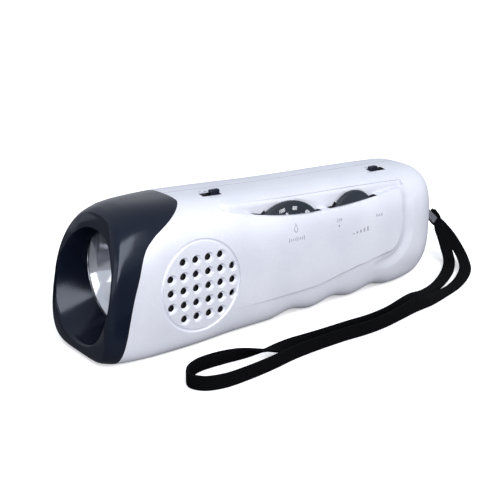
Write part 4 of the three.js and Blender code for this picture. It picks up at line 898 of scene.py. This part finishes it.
def make_clip():
    """A folded strip round the pin, tilted down to the strap."""
    heel, outer = CLIP_GAP - CLIP_HEEL, CLIP_GAP + CLIP_SHEET
    turn = [math.pi / 2 + math.pi * i / 24 for i in range(25)]
    bend = [(math.cos(angle), math.sin(angle)) for angle in turn]
    outline = [(CLIP_LENGTH, -outer), (CLIP_LENGTH, -CLIP_GAP),
               *((heel + CLIP_GAP * c, CLIP_GAP * s) for c, s in reversed(bend)),
               (CLIP_LENGTH, CLIP_GAP), (CLIP_LENGTH, outer),
               *((heel + outer * c, outer * s) for c, s in bend)]
    clip = loft("clip", [[Vector((x, y, z)) for x, y in outline]
                         for z in (-CLIP_WIDTH / 2, CLIP_WIDTH / 2)])
    soften(clip, CLIP_ROUND, angle=60)
    clip.data.transform(Matrix.Translation((PIN_ALONG, 0, CLIP_HEIGHT))
                        @ Matrix.Rotation(math.radians(CLIP_TILT), 4, "Y"))
    return finish_piece(clip, "chrome", "strap_clip", sharp=50)


def make_felt():
    """Black felt behind the holes, on a foam ring that stands on the speaker's front."""
    front, face = FELT_GAP + WALL - side_at(*GRILLE), FOAM_END
    outer, inner, back = FELT_RADIUS, FELT_RADIUS - FOAM_WIDTH, front + FELT_SHEET
    profile = [(front, 0.0), (front, outer), (face, outer), (face, inner), (back, inner),
               (back, 0.0)]
    felt = turned("speaker_felt", profile, "y", (GRILLE[0], 0, GRILLE[1]), 64)
    finish_piece(felt, "felt")


# Printed marks

def mesh_of(item):
    """Takes the mesh out of a piece."""
    mesh = item.data
    bpy.data.objects.remove(item)
    return mesh


def letters(text, size, squeeze):
    """Letters as a thin closed mesh about the origin, reading along x."""
    curve = bpy.data.curves.new("letters", "FONT")
    curve.body, curve.size, curve.extrude, curve.resolution_u = text, size, INK, 4
    curve.align_x, curve.align_y = "CENTER", "CENTER"
    item = new_object("letters", curve)
    bpy.context.view_layer.update()
    depsgraph = bpy.context.evaluated_depsgraph_get()
    mesh = bpy.data.meshes.new_from_object(item.evaluated_get(depsgraph))
    bpy.data.curves.remove(mesh_of(item))
    mesh.transform(Matrix.Diagonal((squeeze, 1, 1, 1)))
    return mesh


def bar_mark(width, height):
    return mesh_of(block("bar", -width / 2, width / 2, -height / 2, height / 2, -INK, INK))


def drop_mark():
    """The outline of a drop, point up."""
    def ring(grow, z):
        points = []
        for c, s in around(32):
            pinch, tall = (1.0, 1.25) if s < 0 else ((1 - s) ** 0.6, 2.5)
            points.append(Vector(((0.95 + grow) * c * pinch, (tall + grow) * s, z)))
        return points

    return mesh_of(cut(loft("drop", [ring(0.0, -INK), ring(0.0, INK)]),
                       loft("inner", [ring(-0.3, -1.0), ring(-0.3, 1.0)])))


def lay_marks(name, marks, settle, ink, body="casing"):
    """Joins flat marks into one piece and lays every corner on its surface."""
    bm = bmesh.new()
    for mesh, place in marks:
        mesh.transform(place)
        bm.from_mesh(mesh)
        bpy.data.meshes.remove(mesh)
    bmesh.ops.remove_doubles(bm, verts=bm.verts[:], dist=1e-5)
    bmesh.ops.triangulate(bm, faces=bm.faces[:])
    for vert in bm.verts:
        vert.co = settle(vert.co)
    finish_piece(piece_from(name, bm), ink, body=body, sharp=30)


def at(x, y, degrees=0.0):
    return Matrix.Translation((x, y, 0)) @ Matrix.Rotation(math.radians(degrees), 4, "Z")


def make_marks(surface):
    def on_dial(p):
        return Vector((DIAL[0] + p.x, -WHEEL_FACE - p.z, DIAL[1] + p.y))

    def on_side(p):
        hit = surface.ray_cast(Vector((p.x, -60, p.y)), Vector((0, 1, 0)))[0]
        return Vector((p.x, hit.y - p.z, p.y))

    def on_top(p):
        hit = surface.ray_cast(Vector((p.x, p.y, 80)), Vector((0, 0, -1)))[0]
        return Vector((p.x, p.y, hit.z + p.z))

    numbers = [(letters(text, size, 0.72), at(0, 0, -angle) @ at(0, reach))
               for size, reach, row in DIAL_NUMBERS for angle, text in row]
    lay_marks("dial_numbers", numbers, on_dial, "white_ink", "tuning_wheel")
    side = [(letters("OFF", 1.9, 0.95), at(108.2, 37.7)),
            (letters("MAX", 1.7, 1.12), at(130.7, 36.0)),
            (drop_mark(), at(85.2, 38.2)), (bar_mark(0.7, 0.7), at(107.9, 35.5))]
    side += [(bar_mark(0.28, 1.9 if i % 4 == 0 else 1.1), at(81.6 + i * 0.95, 34.3))
             for i in range(9)]
    side += [(bar_mark(0.75, 0.5 + 0.36 * i), at(116.0 + i * 2.0, 30.75 + 0.18 * i))
             for i in range(5)]
    lay_marks("side_marks", side, on_side, "grey_ink")
    top = []
    for *_, x, _ in SWITCHES:
        top += [(bar_mark(0.8, 0.8), at(x + step * 2.4, -4.9)) for step in (-1, 0, 1)]
        top.append((bar_mark(4.6, 0.25), at(x, -6.1)))
    lay_marks("top_marks", top, on_top, "grey_ink")


# Strap

STRAP_STEPS = 460


def strap_line():
    """Even points along the strap, each with its lean, on a smooth curve through the route."""
    places, leans = [], []
    for x, y, rise, lean in STRAP_ROUTE:
        leans.append(math.radians(lean))
        lying = (STRAP_WIDTH * abs(math.cos(leans[-1]))
                 + STRAP_THICKNESS * abs(math.sin(leans[-1]))) / 2
        places.append(Vector((PIN_ALONG + x, y, lying + STRAP_LIFT + rise * CLIP_HEIGHT)))
    posts = [2 * places[0] - places[1], *places, 2 * places[-1] - places[-2]]
    fine = []
    for i in range(len(places) - 1):
        a, b, c, d = posts[i:i + 4]
        before, here, after = [(q - p).length ** 0.5 for p, q in ((a, b), (b, c), (c, d))]
        leave = ((b - a) / before - (c - a) / (before + here) + (c - b) / here) * here
        arrive = ((c - b) / here - (d - b) / (here + after) + (d - c) / after) * here
        for t in (step / 24 for step in range(24)):
            fine.append((ease(b, c, leave, arrive, t),
                         level_curve(range(len(leans)), leans, i, t)))
    fine.append((places[-1], leans[-1]))
    lengths = [0.0]
    for (a, _), (b, _) in zip(fine, fine[1:]):
        lengths.append(lengths[-1] + (b - a).length)
    even, i = [], 0
    for step in range(STRAP_STEPS + 1):
        goal = lengths[-1] * step / STRAP_STEPS
        while i < len(fine) - 2 and lengths[i + 1] < goal:
            i += 1
        t = (goal - lengths[i]) / (lengths[i + 1] - lengths[i])
        even.append((fine[i][0].lerp(fine[i + 1][0], t), mix(fine[i][1], fine[i + 1][1], t)))
    return even, lengths[-1]


def make_strap(clip):
    line, length = strap_line()
    outline = [(STRAP_WIDTH / 2 * power_sign(c, 0.3), STRAP_THICKNESS / 2 * power_sign(s, 0.6))
               for c, s in around(24, 0.5)]
    rings = []
    for i, (point, lean) in enumerate(line):
        ahead = (line[min(i + 1, STRAP_STEPS)][0] - line[max(i - 1, 0)][0]).normalized()
        level = Vector((ahead.y, -ahead.x, 0)).normalized()
        side = Matrix.Rotation(-lean, 3, ahead) @ level
        up = ahead.cross(side)
        rings.append([point + up * wide + side * thin for wide, thin in outline])
    strap = loft("strap", rings)
    lay_weave(strap, rings, length)
    finish_piece(strap, "webbing", "wrist_strap", sharp=60)


def lay_weave(strap, rings, length):
    """A UV map on the tape: along it in u and round it in v, both in millimetres."""
    count, last = len(rings[0]), len(rings) - 1
    layer = strap.data.uv_layers.new(name="tape")
    girth = [0.0]
    for p, q in zip(rings[0], rings[0][1:] + rings[0][:1]):
        girth.append(girth[-1] + (q - p).length)
    for polygon in strap.data.polygons:
        corners = [divmod(strap.data.loops[i].vertex_index, count) for i in polygon.loop_indices]
        closes = {j for _, j in corners} == {0, count - 1}
        for i, (ring, j) in zip(polygon.loop_indices, corners):
            j = count if closes and j == 0 else j
            layer.data[i].uv = (length * ring / last, girth[j])


# Finishes

WHITE = (1.0, 1.0, 1.0)


def put(tree, socket, value):
    """Links an input to an output, or sets it to a number or a colour."""
    if isinstance(value, bpy.types.NodeSocket):
        tree.links.new(value, socket)
    else:
        socket.default_value = (*value, 1.0) if isinstance(value, tuple) else value


def feed(tree, sockets, **given):
    """Puts values into inputs by name, with underscores for the spaces."""
    for label, value in given.items():
        put(tree, sockets[label.replace("_", " ")], value)


def node_group(name, vector, number, default, outputs):
    """A shared effect that takes a vector and a number and gives numbers back."""
    group = bpy.data.node_groups.new(name, "ShaderNodeTree")
    group.interface.new_socket(vector, in_out="INPUT", socket_type="NodeSocketVector")
    share = group.interface.new_socket(number, in_out="INPUT", socket_type="NodeSocketFloat")
    share.default_value = default
    for label in outputs:
        group.interface.new_socket(label, in_out="OUTPUT", socket_type="NodeSocketFloat")
    given = group.nodes.new("NodeGroupInput").outputs
    return group, given, group.nodes.new("NodeGroupOutput").inputs


def noise(tree, vector, scale, detail):
    node = tree.nodes.new("ShaderNodeTexNoise")
    feed(tree, node.inputs, Vector=vector, Scale=scale, Detail=detail)
    return node.outputs["Fac"]


def remap(tree, value, low, high, to_low=0.0, to_high=1.0):
    node = tree.nodes.new("ShaderNodeMapRange")
    node.interpolation_type = "SMOOTHSTEP"
    feed(tree, node.inputs, Value=value, From_Min=low, From_Max=high, To_Min=to_low,
         To_Max=to_high)
    return node.outputs["Result"]


def compute(tree, operation, *values):
    node = tree.nodes.new("ShaderNodeMath")
    node.operation = operation
    for socket, value in zip(node.inputs, values):
        put(tree, socket, value)
    return node.outputs[0]


def blend_colors(tree, share, first, second):
    node = tree.nodes.new("ShaderNodeMix")
    node.data_type = "RGBA"
    for index, value in ((0, share), (6, first), (7, second)):
        put(tree, node.inputs[index], value)
    return node.outputs[2]


def bump(tree, height, strength, distance):
    node = tree.nodes.new("ShaderNodeBump")
    feed(tree, node.inputs, Height=height, Strength=strength, Distance=distance)
    return node.outputs["Normal"]


def coordinates(tree):
    return tree.nodes.new("ShaderNodeTexCoord").outputs["Object"]


def moulded_grain():
    """Fine moulded or painted surface: a grain height, a slow cloud and tiny flakes."""
    group, given, result = node_group("moulded_grain", "Vector", "Scale", 900,
                                       ("Grain", "Cloud", "Flake"))
    cells = group.nodes.new("ShaderNodeTexVoronoi")
    feed(group, cells.inputs, Vector=given["Vector"], Scale=4200.0)
    split = group.nodes.new("ShaderNodeSeparateColor")
    feed(group, split.inputs, Color=cells.outputs["Color"])
    cloud = noise(group, given["Vector"], 45.0, 4.0)
    feed(group, result, Grain=noise(group, given["Vector"], given["Scale"], 3.0),
         Cloud=remap(group, cloud, 0.3, 0.7), Flake=split.outputs[0])
    return group


def worn_edges():
    """A mask along outward edges, broken up by a slow noise."""
    group, given, result = node_group("worn_edges", "Vector", "Amount", 0.5, ("Mask",))
    geometry = group.nodes.new("ShaderNodeNewGeometry")
    ridge = remap(group, geometry.outputs["Pointiness"], 0.53, 0.6)
    patch = remap(group, noise(group, given["Vector"], 160.0, 4.0), 0.42, 0.62)
    mask = compute(group, "MULTIPLY", compute(group, "MULTIPLY", ridge, patch), given["Amount"])
    feed(group, result, Mask=mask)
    return group


def woven_tape():
    """Flat woven tape in millimetres: u along the tape, v round it. The thread mask, lighter on the
    raised threads, is a painted highlight.
    """
    group, given, result = node_group("woven_tape", "UV", "Pitch", 1.1, ("Height", "Thread"))
    split = group.nodes.new("ShaderNodeSeparateXYZ")
    feed(group, split.inputs, Vector=given["UV"])
    turn = compute(group, "DIVIDE", math.tau, given["Pitch"])
    u, v = (compute(group, "MULTIPLY", split.outputs[i], turn) for i in (0, 1))
    wales = compute(group, "SINE", compute(group, "MULTIPLY", v, 1.25))
    lean = compute(group, "SINE", compute(group, "ADD", compute(group, "MULTIPLY", u, 1.5),
                                          compute(group, "MULTIPLY", wales, 1.2)))
    height = compute(group, "ADD", compute(group, "MULTIPLY", wales, 0.5),
                     compute(group, "MULTIPLY", lean, 0.32))
    feed(group, result, Height=height, Thread=remap(group, height, -0.7, 0.8))
    return group


GROUPS = {"grain": moulded_grain(), "wear": worn_edges(), "weave": woven_tape()}


def placed(tree, name, **given):
    """A shared effect in a material; gives back its outputs."""
    node = tree.nodes.new("ShaderNodeGroup")
    node.node_tree = GROUPS[name]
    feed(tree, node.inputs, **given)
    return node.outputs


def shader_of(name, roughness, metallic=0.0, **given):
    material = bpy.data.materials.new(name)
    material.use_nodes = True
    tree = material.node_tree
    sockets = tree.nodes["Principled BSDF"].inputs
    feed(tree, sockets, Roughness=roughness, Metallic=metallic, **given)
    return material, tree, sockets


def surface(name, color, second, roughness, metallic=0.0, grain=900.0, relief=0.05, flake=0.0,
            wear=0.0, worn=(0.8, 0.8, 0.8), **given):
    """A moulded, painted or metal finish from grain, cloud, flakes and worn edges."""
    material, tree, sockets = shader_of(name, roughness[0], metallic, **given)
    coords = coordinates(tree)
    marks = placed(tree, "grain", Vector=coords, Scale=grain)
    tone = blend_colors(tree, marks["Cloud"], color, second)
    if flake:
        tone = blend_colors(tree, compute(tree, "MULTIPLY", marks["Flake"], flake), tone, WHITE)
    if wear:
        edge = placed(tree, "wear", Vector=coords, Amount=wear)
        tone = blend_colors(tree, edge["Mask"], tone, worn)
    feed(tree, sockets, Base_Color=tone,
         Roughness=remap(tree, marks["Cloud"], 0.0, 1.0, *roughness),
         Normal=bump(tree, marks["Grain"], relief, 0.0001))
    return material


def make_webbing():
    material, tree, sockets = shader_of("woven_black_webbing", 0.8, Specular_IOR_Level=0.04)
    uv = tree.nodes.new("ShaderNodeUVMap")
    uv.uv_map = "tape"
    weave = placed(tree, "weave", UV=uv.outputs[0], Pitch=1.1)
    fuzz = remap(tree, noise(tree, uv.outputs[0], 9.0, 3.0), 0.2, 0.7, 0.55, 1.0)
    # The weave's raised threads, broken up by noise, are coloured lighter: a painted highlight
    share = compute(tree, "MULTIPLY", weave["Thread"], fuzz)
    feed(tree, sockets,
         Base_Color=blend_colors(tree, share, (0.0004, 0.0004, 0.0005), (0.004, 0.0042, 0.006)),
         Roughness=remap(tree, share, 0.0, 1.0, 0.9, 0.62),
         Normal=bump(tree, weave["Height"], 0.8, 0.00025))
    return material


def make_banded(name, first, second, roughness, metallic, axis):
    """A finish with fine bands, such as turns of wire or rings in paper."""
    material, tree, sockets = shader_of(name, roughness, metallic)
    coords = coordinates(tree)
    waves = tree.nodes.new("ShaderNodeTexWave")
    waves.wave_type, waves.bands_direction = "BANDS", axis
    feed(tree, waves.inputs, Vector=coords, Scale=900.0, Distortion=0.6)
    bands = waves.outputs["Fac"]
    feed(tree, sockets, Base_Color=blend_colors(tree, bands, first, second),
         Roughness=remap(tree, noise(tree, coords, 300.0, 2.0), 0.3, 0.7, roughness * 0.8,
                         roughness * 1.2),
         Normal=bump(tree, bands, 0.4, 0.0002))
    return material


def make_glass(name, tint):
    """Clear plastic or glass, with light marks and smears in its polish."""
    material, tree, sockets = shader_of(name, 0.01, Transmission_Weight=1.0, IOR=1.49)
    smear = noise(tree, coordinates(tree), 120.0, 4.0)
    feed(tree, sockets, Roughness=remap(tree, smear, 0.45, 0.75, 0.01, 0.06),
         Base_Color=blend_colors(tree, remap(tree, smear, 0.3, 0.7), tint, WHITE))
    return material


# Surfaces: name, two colours, roughness, metal, scale and relief of the grain, with extras
SURFACES = {
    "paint": (("satin_silver_paint", (0.60, 0.615, 0.69), (0.64, 0.655, 0.725), (0.34, 0.4), 0.35,
               1400.0, 0.06), {"flake": 0.14, "wear": 0.35, "worn": (0.84, 0.85, 0.88)}),
    # Near-black painted shade for the faces deep inside the shells, their holes, slots, wells and
    # pockets
    "painted_shade_and_second_finish": (("painted_shade_black", (0.008, 0.009, 0.011), (0.012, 0.013, 0.016), (0.5, 0.6), 0.0,
              900.0, 0.12), {}),
    "black": (("polished_black_plastic", (0.003, 0.0045, 0.011), (0.005, 0.007, 0.014),
               (0.16, 0.22), 0.0, 500.0, 0.02),
              {"wear": 0.2, "worn": (0.05, 0.055, 0.075), "Specular_IOR_Level": 0.32,
               "Specular_Tint": (0.78, 0.85, 1.0)}),
    "dark": (("dark_slate_plastic", (0.010, 0.014, 0.021), (0.015, 0.02, 0.028), (0.42, 0.5), 0.0,
              1200.0, 0.15), {"wear": 0.3, "worn": (0.1, 0.11, 0.13), "Specular_IOR_Level": 0.3}),
    "mirror": (("bright_mirror", (0.95, 0.955, 0.99), (0.92, 0.93, 0.97), (0.1, 0.15), 1.0, 160.0,
                0.06), {}),
    "chrome": (("polished_chrome", (0.70, 0.72, 0.78), (0.6, 0.62, 0.69), (0.1, 0.18), 1.0,
                700.0), {"wear": 0.3, "worn": (0.9, 0.9, 0.92)}),
    "steel": (("zinc_plated_steel", (0.5, 0.51, 0.53), (0.42, 0.43, 0.46), (0.25, 0.4), 1.0,
               900.0, 0.1), {"wear": 0.3, "worn": (0.75, 0.75, 0.78)}),
    "wire": (("tungsten_wire", (0.4, 0.4, 0.42), (0.3, 0.3, 0.32), (0.3, 0.4), 1.0), {}),
    "brass": (("turned_brass", (0.72, 0.5, 0.2), (0.6, 0.4, 0.15), (0.25, 0.35), 1.0, 900.0,
               0.08), {"wear": 0.3, "worn": (0.9, 0.75, 0.4)}),
    "board": (("green_board", (0.02, 0.10, 0.045), (0.03, 0.14, 0.06), (0.35, 0.5), 0.0, 300.0,
               0.2), {}),
    "parts": (("black_parts_and_slot_shade", (0.02, 0.02, 0.022), (0.03, 0.03, 0.033), (0.5, 0.65),
               0.0, 1500.0, 0.2), {}),
    "cream": (("cream_plastic", (0.75, 0.7, 0.58), (0.8, 0.76, 0.66), (0.4, 0.5), 0.0, 1000.0,
               0.08), {}),
    "ferrite": (("ground_ferrite", (0.04, 0.04, 0.042), (0.065, 0.063, 0.06), (0.5, 0.7), 0.1,
                 2500.0, 0.3), {}),
    "sleeve": (("battery_sleeve", (0.035, 0.06, 0.11), (0.045, 0.075, 0.13), (0.2, 0.28), 0.0,
                500.0, 0.03), {"wear": 0.4, "worn": (0.3, 0.32, 0.36)}),
    "felt": (("black_speaker_felt", (0.004, 0.004, 0.005), (0.008, 0.008, 0.009), (0.85, 0.95),
              0.0, 5000.0, 0.6), {}),
    "white_ink": (("white_print", (0.72, 0.73, 0.76), (0.8, 0.81, 0.83), (0.5, 0.6)), {}),
    "grey_ink": (("grey_print", (0.17, 0.175, 0.2), (0.24, 0.245, 0.27), (0.5, 0.6)), {}),
}
# Solids that are shown as they are, under their finish
KEPT = {
    # The two switch cases take this black finish so that the switch slots read dark: painted shade
    "parts": ("bulb_holder", "volume_control", "radio_chip", "filter_capacitor",
              "band_switch_case", "light_switch_case"),
    "steel": ("speaker_frame", "speaker_magnet", "dial_screw", "wheel_screw", "lower_contact",
              "upper_contact", "strap_pin"),
    "cream": ("tuning_capacitor", "front_rod_clip", "rear_rod_clip"),
    "brass": ("tuning_shaft", "volume_shaft"),
    "paper": ("speaker_cone",), "board": ("circuit_board",),
    "ferrite": ("ferrite_rod",), "copper": ("aerial_coil",),
}


def make_finishes():
    """Every finish under a short name."""
    made = {key: surface(*row, **extras) for key, (row, extras) in SURFACES.items()}
    made["webbing"] = make_webbing()
    made["lens"] = make_glass("clear_lens_plastic", (0.97, 0.98, 1.0))
    made["bulb"] = make_glass("bulb_glass", (0.98, 0.98, 0.97))
    made["paper"] = make_banded("ribbed_cone_paper", (0.018, 0.018, 0.02), (0.035, 0.034, 0.034),
                                0.8, 0.0, "DIAGONAL")
    made["copper"] = make_banded("wound_copper_wire", (0.5, 0.17, 0.06), (0.85, 0.4, 0.2), 0.3,
                                 1.0, "X")
    return made


def dress_kept_nodes():
    for finish, nodes in KEPT.items():
        for node in nodes:
            for material_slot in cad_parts[node].material_slots:
                material_slot.material = finishes[finish]


# Studio

def make_paper():
    """Pale paper: white to the eye, with little light thrown back under the object."""
    material, tree, sockets = shader_of("pale_paper", 0.8, Emission_Strength=0.4,
                                        Specular_IOR_Level=0.1)
    seen = tree.nodes.new("ShaderNodeLightPath").outputs["Is Camera Ray"]
    feed(tree, sockets,
         Base_Color=blend_colors(tree, seen, (0.17, 0.17, 0.18), (0.94, 0.94, 0.945)),
         Emission_Color=blend_colors(tree, seen, (0.0, 0.0, 0.0), WHITE))
    return material


def panel_light(name, place, aim, size, energy):
    data = bpy.data.lights.new(name, "AREA")
    data.shape, data.size, data.size_y, data.energy = "RECTANGLE", *size, energy
    lamp = new_object(name, data)
    lamp.location = place
    lamp.rotation_euler = (Vector(aim) - Vector(place)).to_track_quat("-Z", "Y").to_euler()


def set_stage():
    bm = bmesh.new()
    bmesh.ops.create_grid(bm, x_segments=1, y_segments=1, size=3.0)
    floor = piece_from("floor", bm)
    floor.data.transform(Matrix.Translation((0, 0, -0.0002)))
    floor.data.materials.append(make_paper())
    world = bpy.data.worlds.new("studio")
    world.use_nodes = True
    feed(world.node_tree, world.node_tree.nodes["Background"].inputs, Color=(0.87, 0.91, 1.0),
         Strength=0.75)
    bpy.context.scene.world = world
    bpy.context.scene.view_settings.view_transform = "Standard"
    panel_light("key", (-0.2, -1.15, 0.7), (-0.01, 0, 0.05), (0.9, 1.3), 25.0)
    panel_light("front", (-1.3, -0.5, 0.3), (-0.08, 0, 0.03), (1.4, 1.0), 5.5)


set_camera()
finishes = make_finishes()
make_strap(make_clip())
near_surface = make_casing()
for make in (make_lens, make_reflector, make_bulb, make_wheels, make_knobs, make_screws,
             make_cells, make_felt):
    make()
make_marks(near_surface)
dress_kept_nodes()
set_stage()
